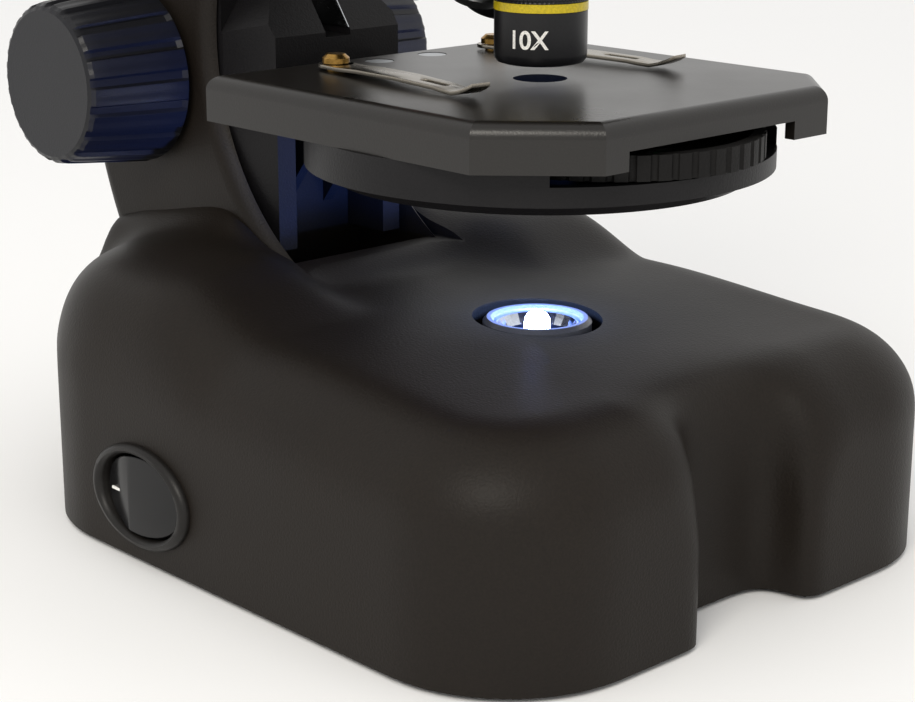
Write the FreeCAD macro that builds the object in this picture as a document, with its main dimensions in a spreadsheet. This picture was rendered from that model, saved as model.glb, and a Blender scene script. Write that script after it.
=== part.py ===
import FreeCAD, Part
import math
import os
import re
import Sketcher

# Student microscope with a C-shaped arm, a battery lamp in the base, a rack-and-pinion stage,
# a filter wheel, a three-objective turret and a turning head with an inclined eyepiece.
# Frame: +Z up, the optical axis is the Z axis, the front (open side of the stage) faces -Y,
# z = 0 is the surface that the base stands on. All sizes are in millimetres.

Vector = FreeCAD.Vector

SIZES = {
    # base
    "base_half_width": 65.5,
    "base_front": 58.0,
    "base_top": 48.0,
    "base_wall": 2.5,
    "front_corner": 28.0,
    "back_corner": 30.0,
    "side_end": 62.9,
    "flank_angle": 32.0,
    "flank_length": 12.0,
    "top_round": 17.0,
    "notch_half": 14.7,
    "notch_depth": 11.5,
    "notch_round": 6.0,
    "seat_top": 52.0,
    "seat_foot": 34.0,
    "seat_half": 23.0,
    "seat_spread": 10.0,
    "well_front": 53.0,
    "well_back": 76.5,
    "plate_thick": 2.0,
    "plate_gap": 0.2,
    "door_half_x": 29.0,
    "door_front": 29.0,
    "door_back": 24.0,
    "door_gap": 0.3,
    "foot_radius": 6.0,
    "foot_thick": 1.4,
    "boss_radius": 4.0,
    "base_screw_x": 51.0,
    "base_screw_front": 28.0,
    "base_screw_back": 66.0,
    "screw_radius": 1.5,
    "screw_head": 2.9,
    "screw_slip": 0.05,
    # lamp
    "lamp_radius": 12.9,
    "lamp_floor": 42.0,
    "collar_radius": 10.8,
    "collar_wall": 2.2,
    "collar_top": 47.6,
    "emitter_radius": 2.4,
    "board_side": 24.0,
    "board_thick": 1.6,
    # batteries
    "cell_radius": 7.1,
    "cell_length": 50.0,
    "cell_pitch": 14.5,
    "cell_row": -7.0,
    "tray_wall": 1.5,
    "tray_top": 20.0,
    "contact_thick": 0.5,
    # switch
    "switch_y": 43.0,
    "switch_z": 14.6,
    "bezel_half_y": 16.3,
    "bezel_half_z": 10.9,
    "bezel_proud": 1.8,
    "rocker_half_y": 12.2,
    "rocker_half_z": 8.0,
    "rocker_gap": 0.6,
    "rocker_pin": 1.2,
    "switch_wall": 1.0,
    "switch_reach": 8.5,
    # arm
    "arm_half": 22.0,
    "arm_wall": 2.5,
    "arm_centre_y": 24.0,
    "arm_centre_z": 97.0,
    "arm_throat": 51.8,
    "arm_spine": 102.0,
    "arm_top": 182.0,
    "arm_front": 50.0,
    "channel_top": 128.0,
    "arm_edge_round": 5.0,
    "arm_boss": 3.6,
    # focus
    "focus_y": 99.7,
    "focus_z": 87.2,
    "shaft_radius": 2.5,
    "run_fit": 0.05,
    "bush_radius": 4.5,
    "knob_back": 23.4,
    "knob_length": 23.6,
    "knob_face": 17.1,
    "knob_rear": 19.1,
    "gear_module": 0.8,
    "gear_teeth": 15,
    "gear_width": 8.0,
    "tooth_thick": 1.0,
    "tooth_tip": 0.6,
    "rack_width": 7.0,
    # carriage
    "carriage_front": 60.0,
    "carriage_nose": 16.8,
    "carriage_half": 19.0,
    "carriage_step": 76.0,
    "carriage_back": 88.0,
    "carriage_low": 53.0,
    "carriage_mid": 70.0,
    "carriage_top": 112.0,
    "bevel_start": 98.0,
    "bevel_slope": 0.72,
    "channel_half": 12.1,
    "channel_back": 72.0,
    "channel_roof": 84.0,
    "slot_half": 3.4,
    "rod_x": 8.0,
    "rod_y": 82.5,
    "rod_radius": 2.0,
    "bracket_thick": 4.0,
    # stage
    "stage_top": 94.7,
    "stage_skirt": 8.9,
    "stage_deck": 3.0,
    "stage_wall": 2.2,
    "stage_half": 44.6,
    "stage_front": 43.8,
    "stage_back": 46.5,
    "stage_chamfer": 16.3,
    "stage_chamfer_right": 12.4,
    "stage_round": 2.8,
    "stage_hole": 5.2,
    "skirt_cut_half": 22.5,
    "skirt_left": 5.4,
    "tongue_half": 12.0,
    "tongue_reach": 20.0,
    "tongue_thick": 5.0,
    "gusset_thick": 2.5,
    # filter housing and wheel
    "pan_radius": 45.3,
    "pan_lower": 41.5,
    "pan_mid": 79.0,
    "pan_low": 76.6,
    "pan_wall": 2.5,
    "pan_floor": 2.0,
    "pan_hole": 8.0,
    "wheel_offset": 17.0,
    "wheel_radius": 30.0,
    "wheel_low": 83.0,
    "wheel_thick": 4.6,
    "wheel_web": 2.0,
    "filter_radius": 4.5,
    "wheel_gap": 0.4,
    "hub_radius": 4.0,
    # clips
    "clip_x": 21.5,
    "clip_y": 35.0,
    "post_radius": 1.8,
    "clip_length": 47.0,
    "clip_width": 7.0,
    "clip_thick": 0.7,
    "clip_angle": 6.5,
    # turret and objectives
    "turret_tilt": 18.0,
    "apex_z": 165.0,
    "seat_reach": 52.0,
    "turret_radius": 26.0,
    "turret_rim": 38.0,
    "turret_hub": 6.5,
    "hub_drop": 60.0,
    "objective_radius": 8.9,
    "objective_neck": 7.0,
    "lens_radius": 3.0,
    "length_low": 9.0,
    "length_mid": 15.2,
    "length_high": 16.4,
    # head
    "head_half": 23.0,
    "head_wall": 2.5,
    "head_front": 27.0,
    "head_bore": 9.0,
    "mount_gap": 0.5,
    "mount_thick": 3.0,
    "turning_gap": 0.4,
    "prism_half": 17.0,
    "prism_house": 34.0,
    "spigot_radius": 14.0,
    "spigot_depth": 4.0,
    "tube_angle": 45.0,
    "tube_radius": 14.5,
    "tube_bore": 11.6,
    "tube_start": 9.6,
    "tube_length": 72.0,
    "eyepiece_out": 16.0,
    "eyepiece_in": 30.0,
}

doc = FreeCAD.newDocument("Microscope")
sheet = doc.addObject("Spreadsheet::Sheet", "Sizes")
for row, (alias, number) in enumerate(SIZES.items(), 1):
    sheet.set("A%d" % row, alias)
    sheet.set("B%d" % row, str(number))
    sheet.setAlias("B%d" % row, alias)
doc.recompute()

nodes = []


def linked(text):
    """The same expression with every size name turned into a reference to its cell."""
    return re.sub(r"[a-z][a-z_]*", lambda m: "Sizes." + m.group(0) if m.group(0) in SIZES else m.group(0), str(text))


def worked(text):
    """The number that an expression gives now."""
    result = sheet.evalExpression(linked(text))
    return float(getattr(result, "Value", result))


def bind(thing, path, text):
    thing.setExpression(path, linked(text))


def place(thing, x="0", y="0", z="0"):
    for axis, text in zip("xyz", (x, y, z)):
        bind(thing, "Placement.Base." + axis, text)
    return thing


def aim(thing, axis, angle, x="0", y="0", z="0"):
    """Turn a piece about an axis through its own origin, then move it there."""
    thing.Placement = FreeCAD.Placement(Vector(), FreeCAD.Rotation(Vector(*axis), worked(angle)))
    bind(thing, "Placement.Rotation.Angle", angle)
    return place(thing, x, y, z)


def box(name, x, y, z):
    """A box from its lowest to its highest corner, given as pairs of expressions."""
    thing = doc.addObject("Part::Box", name)
    for side, (low, high) in zip(("Length", "Width", "Height"), (x, y, z)):
        bind(thing, side, "(%s) - (%s)" % (high, low))
    return place(thing, x[0], y[0], z[0])


def rod(name, radius, length, x="0", y="0", z="0", along="z"):
    """A cylinder that starts at a point and runs along +X, +Y or +Z."""
    thing = doc.addObject("Part::Cylinder", name)
    bind(thing, "Radius", radius)
    bind(thing, "Height", length)
    turns = {"x": (Vector(0, 1, 0), 90), "y": (Vector(1, 0, 0), -90), "z": (Vector(0, 0, 1), 0)}
    thing.Placement = FreeCAD.Placement(Vector(), FreeCAD.Rotation(*turns[along]))
    return place(thing, x, y, z)


def cut(name, base, *tools):
    thing = doc.addObject("Part::Cut", name)
    thing.Base = base
    thing.Tool = tools[0] if len(tools) == 1 else fuse(name + "_tools", *tools)
    return thing


def fuse(name, *shapes):
    thing = doc.addObject("Part::MultiFuse", name)
    thing.Shapes = list(shapes)
    return thing


def common(name, first, second):
    thing = doc.addObject("Part::Common", name)
    thing.Base = first
    thing.Tool = second
    return thing


def group(name, shapes):
    thing = doc.addObject("Part::Compound", name)
    thing.Links = list(shapes)
    return thing


def rounded(name, base, radius, wanted):
    """Fillet the edges of a finished shape that the test picks out."""
    doc.recompute()
    thing = doc.addObject("Part::Fillet", name)
    thing.Base = base
    size = worked(radius)
    thing.Edges = [(n, size, size) for n, edge in enumerate(base.Shape.Edges, 1) if wanted(edge)]
    return thing


def node(name, thing):
    thing.Label = name
    nodes.append(thing)
    return thing


def at_height(edge, height):
    return all(abs(v.Z - height) < 1e-4 for v in edge.Vertexes)


def draw(body, plane, points, offset="0"):
    """A closed, fully placed outline on one of the body's own planes.

    A point is (x, y), or (x, y, radius, side) where an arc runs on to the next point with its
    centre on the left (side 1) or the right (side -1) of the way there.
    """
    sketch = body.newObject("Sketcher::SketchObject", body.Name + "_sketch")
    origin = [f for f in body.Origin.OriginFeatures if f.Role == plane + "_Plane"][0]
    sketch.AttachmentSupport = [(origin, "")]
    sketch.MapMode = "FlatFace"
    bind(sketch, "AttachmentOffset.Base.z", offset)
    spots = [Vector(worked(p[0]), worked(p[1]), 0) for p in points]
    starts = []
    ends = []
    for index, point in enumerate(points):
        here = spots[index]
        there = spots[(index + 1) % len(spots)]
        if len(point) == 2:
            sketch.addGeometry(Part.LineSegment(here, there), False)
            starts.append(1)
            ends.append(2)
            continue
        radius, side = worked(point[2]), point[3]
        chord = there - here
        rise = math.sqrt(max(radius ** 2 - chord.Length ** 2 / 4, 0.0))
        centre = (here + there) * 0.5 + Vector(-chord.y, chord.x, 0).normalize() * rise * side
        first, last = (here, there) if side > 0 else (there, here)
        begin = math.atan2(first.y - centre.y, first.x - centre.x)
        finish = math.atan2(last.y - centre.y, last.x - centre.x)
        if finish < begin:
            finish += 2 * math.pi
        circle = Part.Circle(centre, Vector(0, 0, 1), radius)
        sketch.addGeometry(Part.ArcOfCircle(circle, begin, finish), False)
        starts.append(1 if side > 0 else 2)
        ends.append(2 if side > 0 else 1)
    for index, point in enumerate(points):
        after = (index + 1) % len(points)
        sketch.addConstraint(Sketcher.Constraint("Coincident", index, ends[index], after, starts[after]))
        for axis, text, value in (("X", point[0], spots[index].x), ("Y", point[1], spots[index].y)):
            if str(text) == "0":
                line = -2 if axis == "X" else -1
                sketch.addConstraint(Sketcher.Constraint("PointOnObject", index, starts[index], line))
                continue
            rule = Sketcher.Constraint("Distance" + axis, -1, 1, index, starts[index], value)
            number = sketch.addConstraint(rule)
            bind(sketch, "Constraints[%d]" % number, text)
        if len(point) == 4:
            number = sketch.addConstraint(Sketcher.Constraint("Radius", index, worked(point[2])))
            bind(sketch, "Constraints[%d]" % number, point[2])
    return sketch


def prism(name, plane, points, low, high):
    """An outline on XY, XZ or YZ, drawn out along +Z, +Y or +X from low to high."""
    body = doc.addObject("PartDesign::Body", name)
    offset = "-(%s)" % low if plane == "XZ" else low
    sketch = draw(body, plane, points, offset)
    pad = body.newObject("PartDesign::Pad", name + "_pad")
    pad.Profile = sketch
    pad.Reversed = plane == "XZ"
    bind(pad, "Length", "(%s) - (%s)" % (high, low))
    body.Tip = pad
    return body


def turned(name, points, axis="V"):
    """A profile of (radius, z) points spun about Z, or of (x, radius) points spun about X."""
    body = doc.addObject("PartDesign::Body", name)
    sketch = draw(body, "XZ", points)
    spin = body.newObject("PartDesign::Revolution", name + "_spin")
    spin.Profile = sketch
    spin.ReferenceAxis = (sketch, [axis + "_Axis"])
    spin.Angle = 360
    body.Tip = spin
    return body


def oval(half_y, half_z):
    """Points of a flat-sided oval round the switch's centre, in the YZ plane."""
    left = "switch_y - (%s) + (%s)" % (half_y, half_z)
    right = "switch_y + (%s) - (%s)" % (half_y, half_z)
    low = "switch_z - (%s)" % half_z
    high = "switch_z + (%s)" % half_z
    middle = "switch_z"
    far_left = "switch_y - (%s)" % half_y
    far_right = "switch_y + (%s)" % half_y
    return [
        (left, low),
        (right, low, half_z, 1),
        (far_right, middle, half_z, 1),
        (right, high),
        (left, high, half_z, 1),
        (far_left, middle, half_z, 1),
    ]


# ---------------------------------------------------------------- base housing
def base_outline(inset):
    """The base's plan, moved inwards by a distance: two lobes in front, a bowed back."""
    half = "(base_half_width - %s)" % inset
    front = "(base_front - %s)" % inset
    corner = "(front_corner - %s)" % inset
    back = "(back_corner - %s)" % inset
    turn_x = "(%s - %s * (1 - cos(flank_angle)))" % (half, back)
    turn_y = "(side_end + %s * sin(flank_angle))" % back
    flank_x = "(%s - flank_length * sin(flank_angle))" % turn_x
    flank_y = "(%s + flank_length * cos(flank_angle))" % turn_y
    bow = "(%s / cos(flank_angle))" % flank_x
    return [
        ("-(%s - %s)" % (half, corner), "-" + front),
        ("%s - %s" % (half, corner), "-" + front, corner, 1),
        (half, "-%s + %s" % (front, corner)),
        (half, "side_end", back, 1),
        (turn_x, turn_y),
        (flank_x, flank_y, bow, 1),
        ("-" + flank_x, flank_y),
        ("-" + turn_x, turn_y, back, 1),
        ("-" + half, "side_end"),
        ("-" + half, "-%s + %s" % (front, corner), corner, 1),
    ]


def notch_outline(grow):
    """The bay between the two lobes, opened out by a distance, with its S-shaped sides."""
    half = "(notch_half + %s)" % grow
    lip = "(notch_round - %s)" % grow
    depth = "(notch_depth + %s)" % grow
    cove = "(%s - %s)" % (depth, lip)
    ahead = "-(base_front + 20)"
    front = "-base_front"
    return [
        ("-(%s + %s)" % (half, lip), ahead),
        ("%s + %s" % (half, lip), ahead),
        ("%s + %s" % (half, lip), front, lip, -1),
        (half, "-base_front + " + lip, cove, 1),
        ("%s - %s" % (half, cove), "-base_front + " + depth),
        ("-(%s - %s)" % (half, cove), "-base_front + " + depth, cove, 1),
        ("-" + half, "-base_front + " + lip, lip, -1),
        ("-(%s + %s)" % (half, lip), front),
    ]


def base_block(name, inset, top, top_radius, notch_grow):
    """A solid block of the base's shape with rounded top edges and the front bay cut out."""
    raw = prism(name + "_raw", "XY", base_outline(inset), "0", top)
    height = worked(top)
    soft = rounded(name + "_soft", raw, top_radius, lambda edge: at_height(edge, height))
    bay = prism(name + "_bay", "XY", notch_outline(notch_grow), "-1", "base_top + 1")
    return cut(name, soft, bay)


def seat_block():
    """The raised seat that carries the arm, wider at its foot than at its top."""
    body = doc.addObject("PartDesign::Body", "arm_seat")
    outlines = []
    for height, grow in (("seat_foot", "seat_spread"), ("seat_top", "0")):
        half = "seat_half + " + grow
        front = "arm_front - 4 - %s" % grow
        back = "arm_centre_y + arm_spine - 9.5"
        corners = [("-(%s)" % half, front), (half, front), (half, back), ("-(%s)" % half, back)]
        outlines.append(draw(body, "XY", corners, height))
    loft = body.newObject("PartDesign::AdditiveLoft", "arm_seat_loft")
    loft.Profile = outlines[0]
    loft.Sections = [outlines[1]]
    body.Tip = loft
    return body


def corners_of_base():
    """Where the four base screws stand."""
    for side in ("-", ""):
        for y in ("-base_screw_front", "base_screw_back"):
            yield "%sbase_screw_x" % side, y


base_outer = base_block("base_outer", "0", "base_top", "top_round", "0")
base_inner = base_block("base_inner", "base_wall", "base_top - base_wall", "top_round - base_wall", "base_wall")
base_bosses = [rod("base_boss_%d" % n, "boss_radius", "base_top - plate_thick", x, y, "plate_thick")
               for n, (x, y) in enumerate(corners_of_base())]
base_hollow = cut("base_hollow", base_inner, *base_bosses)
base_bores = [rod("base_bore_%d" % n, "screw_radius + screw_slip", "14", x, y, "0")
              for n, (x, y) in enumerate(corners_of_base())]
lamp_hole = rod("lamp_hole", "lamp_radius", "base_wall + 2", z="base_top - base_wall - 1")
switch_hole = prism("switch_hole", "YZ", oval("rocker_half_y + rocker_gap + switch_wall + 0.1",
                                              "rocker_half_z + rocker_gap + switch_wall + 0.1"),
                    "-base_half_width - 1", "-base_half_width + base_wall + 2")
leg_well = box("leg_well", ("-arm_half + arm_wall", "arm_half - arm_wall"), ("well_front", "well_back"),
               ("30", "seat_top + 1"))
seat_trim = prism("seat_trim", "XY", base_outline("0"), "0", "seat_top + 1")
seat = common("seat", seat_block(), seat_trim)
node("base_housing", cut("base_shell", fuse("base_with_seat", base_outer, seat), base_hollow, lamp_hole,
                         switch_hole, leg_well, *base_bores))

# ---------------------------------------------------------------- underside of the base
plate_inset = "(base_wall + plate_gap)"
plate_raw = prism("plate_raw", "XY", base_outline(plate_inset), "0", "plate_thick")
plate_bay = prism("plate_bay", "XY", notch_outline(plate_inset), "-1", "plate_thick + 1")
door_window = box("door_window", ("-door_half_x", "door_half_x"), ("-door_front", "door_back"),
                  ("-1", "plate_thick + 1"))
plate_holes = [rod("plate_hole_%d" % n, "screw_radius + 0.2", "plate_thick + 2", x, y, "-1")
               for n, (x, y) in enumerate(corners_of_base())]
head_recess = [rod("head_recess_%d" % n, "screw_head + 0.2", "1.3", x, y, "-0.3")
               for n, (x, y) in enumerate(corners_of_base())]


def foot_spots():
    for side in ("-", ""):
        yield "%sbase_half_width * 0.62" % side, "-base_front * 0.74"
        yield "%sbase_half_width * 0.5" % side, "side_end + 24"


foot_recess = [rod("foot_recess_%d" % n, "foot_radius + 0.1", "foot_thick + 1", x, y, "-1")
               for n, (x, y) in enumerate(foot_spots())]
node("base_bottom_plate", cut("bottom_plate", plate_raw, plate_bay, door_window, *plate_holes, *head_recess,
                              *foot_recess))
node("rubber_feet", group("feet", [rod("foot_%d" % n, "foot_radius", "foot_thick", x, y, "0")
                                   for n, (x, y) in enumerate(foot_spots())]))


def screw(name, x, y, z, length, along="z", reach="1.1"):
    """A pan-head screw: the head starts at the point, the shank runs on from it."""
    head = rod(name + "_head", "screw_head", reach, x, y, z, along)
    shift = {"x": (x + " + " + reach, y, z), "z": (x, y, z + " + " + reach)}[along]
    shank = rod(name + "_shank", "screw_radius", length, *shift, along)
    return fuse(name, head, shank)


node("base_screws", group("base_screw_set", [screw("base_screw_%d" % n, x, y, "0", "11", reach="1")
                                             for n, (x, y) in enumerate(corners_of_base())]))

door_x = "door_half_x - door_gap"
door_slab = box("door_slab", ("-(%s)" % door_x, door_x), ("-door_front + door_gap", "door_back - door_gap"),
                ("0", "plate_thick"))
door_hole = rod("door_hole", "screw_radius + 0.2", "plate_thick + 2", "0", "door_back - 4.5", "-1")
door_sink = rod("door_sink", "screw_head + 0.2", "1.3", "0", "door_back - 4.5", "-0.3")
node("battery_door", cut("door_body", door_slab, door_hole, door_sink))
node("battery_door_screw", screw("door_screw", "0", "door_back - 4.5", "0", "5", reach="1"))

tray_shell = box("tray_shell", ("-door_half_x - tray_wall", "door_half_x + tray_wall"),
                 ("-door_front - tray_wall", "door_back + tray_wall"), ("plate_thick", "tray_top"))
tray_hollow = box("tray_hollow", ("-door_half_x", "door_half_x"), ("-door_front", "door_back"),
                  ("plate_thick - 1", "tray_top - tray_wall"))
tray_post = rod("tray_post", "3.2", "tray_top - tray_wall - plate_thick + 0.1", "0", "door_back - 4.5",
                "plate_thick")
tray_bore = rod("tray_bore", "screw_radius + screw_slip", "6", "0", "door_back - 4.5", "plate_thick - 1")
tray_open = cut("tray_open", tray_shell, tray_hollow)
node("battery_tray", cut("tray", fuse("tray_with_post", tray_open, tray_post), tray_bore))


def cell_rows():
    for step in (-1, 0, 1):
        yield "cell_row + %d * cell_pitch" % step


cell_height = "plate_thick + 1 + cell_radius"
cells = []
contacts = []
for n, row_y in enumerate(cell_rows()):
    can = rod("cell_can_%d" % n, "cell_radius", "cell_length - 1.5", "-cell_length / 2", row_y, cell_height, "x")
    nub = rod("cell_nub_%d" % n, "2.7", "1.5", "cell_length / 2 - 1.5", row_y, cell_height, "x")
    cells.append(fuse("cell_%d" % n, can, nub))
    for side, start in (("left", "-door_half_x"), ("right", "door_half_x - contact_thick")):
        contacts.append(box("contact_%s_%d" % (side, n), (start, start + " + contact_thick"),
                            (row_y + " - 4.5", row_y + " + 4.5"), ("plate_thick + 3", "plate_thick + 13")))
    gap = "door_half_x - contact_thick - cell_length / 2"
    spring = doc.addObject("Part::Cone", "contact_cone_%d" % n)
    bind(spring, "Radius1", "3.8")
    bind(spring, "Radius2", "2")
    bind(spring, "Height", gap)
    spring.Placement = FreeCAD.Placement(Vector(), FreeCAD.Rotation(Vector(0, 1, 0), 90))
    contacts.append(place(spring, "-door_half_x + contact_thick", row_y, cell_height))
    contacts.append(rod("contact_pip_%d" % n, "2", gap, "cell_length / 2", row_y, cell_height, "x"))
node("battery_cells", group("cell_set", cells))
node("battery_contacts", fuse("contact_set", *contacts))

# ---------------------------------------------------------------- lamp
cup_outer = rod("cup_outer", "lamp_radius + 2.4", "base_top - base_wall - lamp_floor + 1.6", z="lamp_floor - 1.6")
cup_inner = rod("cup_inner", "lamp_radius", "20", z="lamp_floor")
cup_slot = rod("cup_slot", "emitter_radius + 0.2", "4", z="lamp_floor - 3")
node("lamp_cup", cut("cup", cup_outer, cup_inner, cup_slot))
node("lamp_collar", turned("collar", [
    ("collar_radius - collar_wall", "lamp_floor"),
    ("collar_radius", "lamp_floor"),
    ("collar_radius", "collar_top - 0.8"),
    ("collar_radius - 0.8", "collar_top"),
    ("collar_radius - collar_wall + 0.6", "collar_top"),
    ("collar_radius - collar_wall", "collar_top - 0.6"),
]))
node("lamp_reflector", turned("reflector", [
    ("emitter_radius + 0.3", "lamp_floor"),
    ("collar_radius - collar_wall - 0.1", "lamp_floor"),
    ("collar_radius - collar_wall - 0.1", "collar_top - 1.2"),
    ("collar_radius - collar_wall - 0.7", "collar_top - 1.2"),
    ("emitter_radius + 0.3", "lamp_floor + 1.2"),
]))
node("lamp_emitter", turned("emitter", [
    ("0", "lamp_floor - 1.6"),
    ("emitter_radius", "lamp_floor - 1.6"),
    ("emitter_radius", "lamp_floor + 1.6", "emitter_radius", 1),
    ("0", "lamp_floor + 1.6 + emitter_radius"),
]))
node("lamp_board", box("board", ("-board_side / 2", "board_side / 2"), ("-board_side / 2", "board_side / 2"),
                       ("lamp_floor - 1.6 - board_thick", "lamp_floor - 1.6")))

# ---------------------------------------------------------------- rocker switch
inner_y = "rocker_half_y + rocker_gap"
inner_z = "rocker_half_z + rocker_gap"
wall_face = "-base_half_width"
barrel = prism("switch_barrel", "YZ", oval(inner_y + " + switch_wall", inner_z + " + switch_wall"),
               wall_face + " - bezel_proud", wall_face + " + switch_reach")
flange = prism("switch_flange", "YZ", oval("bezel_half_y", "bezel_half_z"), wall_face + " - bezel_proud", wall_face)
switch_rim = rounded("switch_rim", flange, "1.2",
                     lambda edge: all(abs(v.X - worked(wall_face + " - bezel_proud")) < 1e-4
                                      for v in edge.Vertexes))
passage = prism("switch_passage", "YZ", oval(inner_y, inner_z), wall_face + " - 5",
                wall_face + " + switch_reach + 1")
pin_reach = "(%s + switch_wall * 0.7)" % inner_z
pin_sockets = rod("pin_sockets", "rocker_pin + run_fit", "2 * %s + 0.2" % pin_reach, wall_face + " + 3", "switch_y",
                  "switch_z - %s - 0.1" % pin_reach)
node("switch_bezel", cut("bezel", fuse("bezel_solid", barrel, switch_rim), passage, pin_sockets))
rocker_raw = prism("rocker_raw", "YZ", oval("rocker_half_y", "rocker_half_z"), wall_face + " - 2.4", wall_face + " + 6")
dish = rod("rocker_dish", "40", "40", wall_face + " - 41.6", "switch_y", "switch_z - 20")
rocker_pin = rod("rocker_axle", "rocker_pin", "2 * " + pin_reach, wall_face + " + 3", "switch_y",
                 "switch_z - " + pin_reach)
node("switch_rocker", fuse("rocker", cut("rocker_cap", rocker_raw, dish), rocker_pin))
node("switch_module", box("module", (wall_face + " + switch_reach", wall_face + " + switch_reach + 12"),
                          ("switch_y - 11", "switch_y + 11"), ("switch_z - 7", "switch_z + 7")))

# ---------------------------------------------------------------- arm
def on_arc(radius, z):
    """The y where a circle about the arm's centre reaches a height."""
    return "(arm_centre_y + sqrt((%s) ^ 2 - (%s - arm_centre_z) ^ 2))" % (radius, z)


throat_roof = "(arm_centre_z + sqrt(arm_throat ^ 2 - (arm_front - arm_centre_y) ^ 2))"
arm_profile = [
    (on_arc("arm_throat", "seat_top"), "seat_top"),
    (on_arc("arm_spine", "seat_top"), "seat_top", "arm_spine", 1),
    (on_arc("arm_spine", "arm_top"), "arm_top"),
    ("arm_front", "arm_top"),
    ("arm_front", throat_roof, "arm_throat", -1),
]
roof_y = "(arm_front + arm_wall)"
inner_roof = "(arm_centre_z + sqrt((arm_throat + arm_wall) ^ 2 - (%s - arm_centre_y) ^ 2))" % roof_y
hollow_profile = [
    ("arm_centre_y + 12", "seat_top - 1"),
    (on_arc("arm_spine - arm_wall", "seat_top - 1"), "seat_top - 1", "arm_spine - arm_wall", 1),
    (on_arc("arm_spine - arm_wall", "arm_top - arm_wall"), "arm_top - arm_wall"),
    (roof_y, "arm_top - arm_wall"),
    (roof_y, inner_roof, "arm_throat + arm_wall", -1),
    (on_arc("arm_throat + arm_wall", "channel_top"), "channel_top"),
    ("arm_centre_y + 12", "channel_top"),
]


def boss_spots():
    """Where the two arm halves are screwed together, as (y, z)."""
    reach = "(arm_spine - arm_wall - arm_boss - 0.6)"
    for angle in ("-20", "8", "32"):
        yield "arm_centre_y + %s * cos(%s)" % (reach, angle), "arm_centre_z + %s * sin(%s)" % (reach, angle)
    yield "arm_front + arm_wall + 8", "arm_top - arm_wall - 9"


arm_blank = prism("arm_blank", "YZ", arm_profile, "-arm_half", "0")
cheek = worked("-arm_half")
arm_soft = rounded("arm_soft", arm_blank, "arm_edge_round",
                   lambda edge: all(abs(v.X - cheek) < 1e-4 for v in edge.Vertexes)
                   and not at_height(edge, worked("seat_top"))
                   and not all(abs(v.Y - worked("arm_front")) < 1e-4 for v in edge.Vertexes))
arm_twin = doc.addObject("Part::Mirroring", "arm_twin")
arm_twin.Source = arm_soft
arm_twin.Normal = Vector(1, 0, 0)


def arm_half(side):
    """One half of the arm casing: a cheek with its half of the spine, its bosses and its bush hole."""
    left = side == "left"
    soft = arm_soft if left else arm_twin
    inside = ("-arm_half + arm_wall", "1") if left else ("-1", "arm_half - arm_wall")
    hollow = prism("arm_%s_hollow" % side, "YZ", hollow_profile, *inside)
    start = "-arm_half + arm_wall - 0.1" if left else "0"
    bosses = [rod("arm_%s_boss_%d" % (side, n), "arm_boss", "arm_half - arm_wall + 0.1", start, y, z, "x")
              for n, (y, z) in enumerate(boss_spots())]
    kept = cut("arm_%s_kept" % side, hollow, *bosses)
    begin = "-10" if left else "-1"
    run = "12" if left else "arm_half + 2"
    bores = [rod("arm_%s_bore_%d" % (side, n), "screw_radius + screw_slip", run, begin, y, z, "x")
             for n, (y, z) in enumerate(boss_spots())]
    if not left:
        bores += [rod("arm_sink_%d" % n, "screw_head + 0.1", "6", "arm_half - 1.6", y, z, "x")
                  for n, (y, z) in enumerate(boss_spots())]
    bores.append(rod("arm_%s_bush_hole" % side, "bush_radius + screw_slip", "10",
                     "-arm_half - 4" if left else "arm_half - 6", "focus_y", "focus_z", "x"))
    node("arm_%s" % side, cut("arm_%s_casing" % side, soft, kept, *bores))


arm_half("left")
arm_half("right")


def arm_screw(n, y, z):
    head = rod("arm_screw_head_%d" % n, "screw_head", "1.2", "arm_half - 1.6", y, z, "x")
    shank = rod("arm_screw_shank_%d" % n, "screw_radius", "arm_half - 1.6 + 9", "-9", y, z, "x")
    return fuse("arm_screw_%d" % n, head, shank)


node("arm_screws", group("arm_screw_set", [arm_screw(n, y, z) for n, (y, z) in enumerate(boss_spots())]))

brackets = []
for tag, low in (("lower", "seat_top"), ("upper", "channel_top")):
    plate = box("bracket_%s_plate" % tag, ("-arm_half + arm_wall", "arm_half - arm_wall"),
                ("rod_y - 5", "rod_y + 6.5"), (low, low + " + bracket_thick"))
    holes = [rod("bracket_%s_hole_%d" % (tag, n), "rod_radius", "bracket_thick + 2", side + "rod_x", "rod_y",
                 low + " - 1")
             for n, side in enumerate(("-", ""))]
    brackets.append(cut("bracket_" + tag, plate, *holes))
node("rod_brackets", group("bracket_set", brackets))
node("guide_rods", group("rod_set", [rod("guide_rod_%d" % n, "rod_radius", "channel_top + bracket_thick - seat_top",
                                         side + "rod_x", "rod_y", "seat_top")
                                     for n, side in enumerate(("-", ""))]))
bushes = []
for tag, start in (("left", "-arm_half - 0.6"), ("right", "arm_half - arm_wall - 1")):
    outer = rod("bush_" + tag, "bush_radius", "arm_wall + 1.6", start, "focus_y", "focus_z", "x")
    inner = rod("bush_bore_" + tag, "shaft_radius + run_fit", "20", start + " - 5", "focus_y", "focus_z", "x")
    bushes.append(cut("shaft_bush_" + tag, outer, inner))
node("shaft_bushes", group("bush_set", bushes))

# ---------------------------------------------------------------- focus drive
pitch_radius = "(gear_module * gear_teeth / 2)"
root_radius = "(%s - gear_module * 1.15)" % pitch_radius
node("focus_shaft", rod("shaft", "shaft_radius", "2 * (knob_back + knob_length - 4)",
                        "-(knob_back + knob_length - 4)", "focus_y", "focus_z", "x"))


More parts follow.
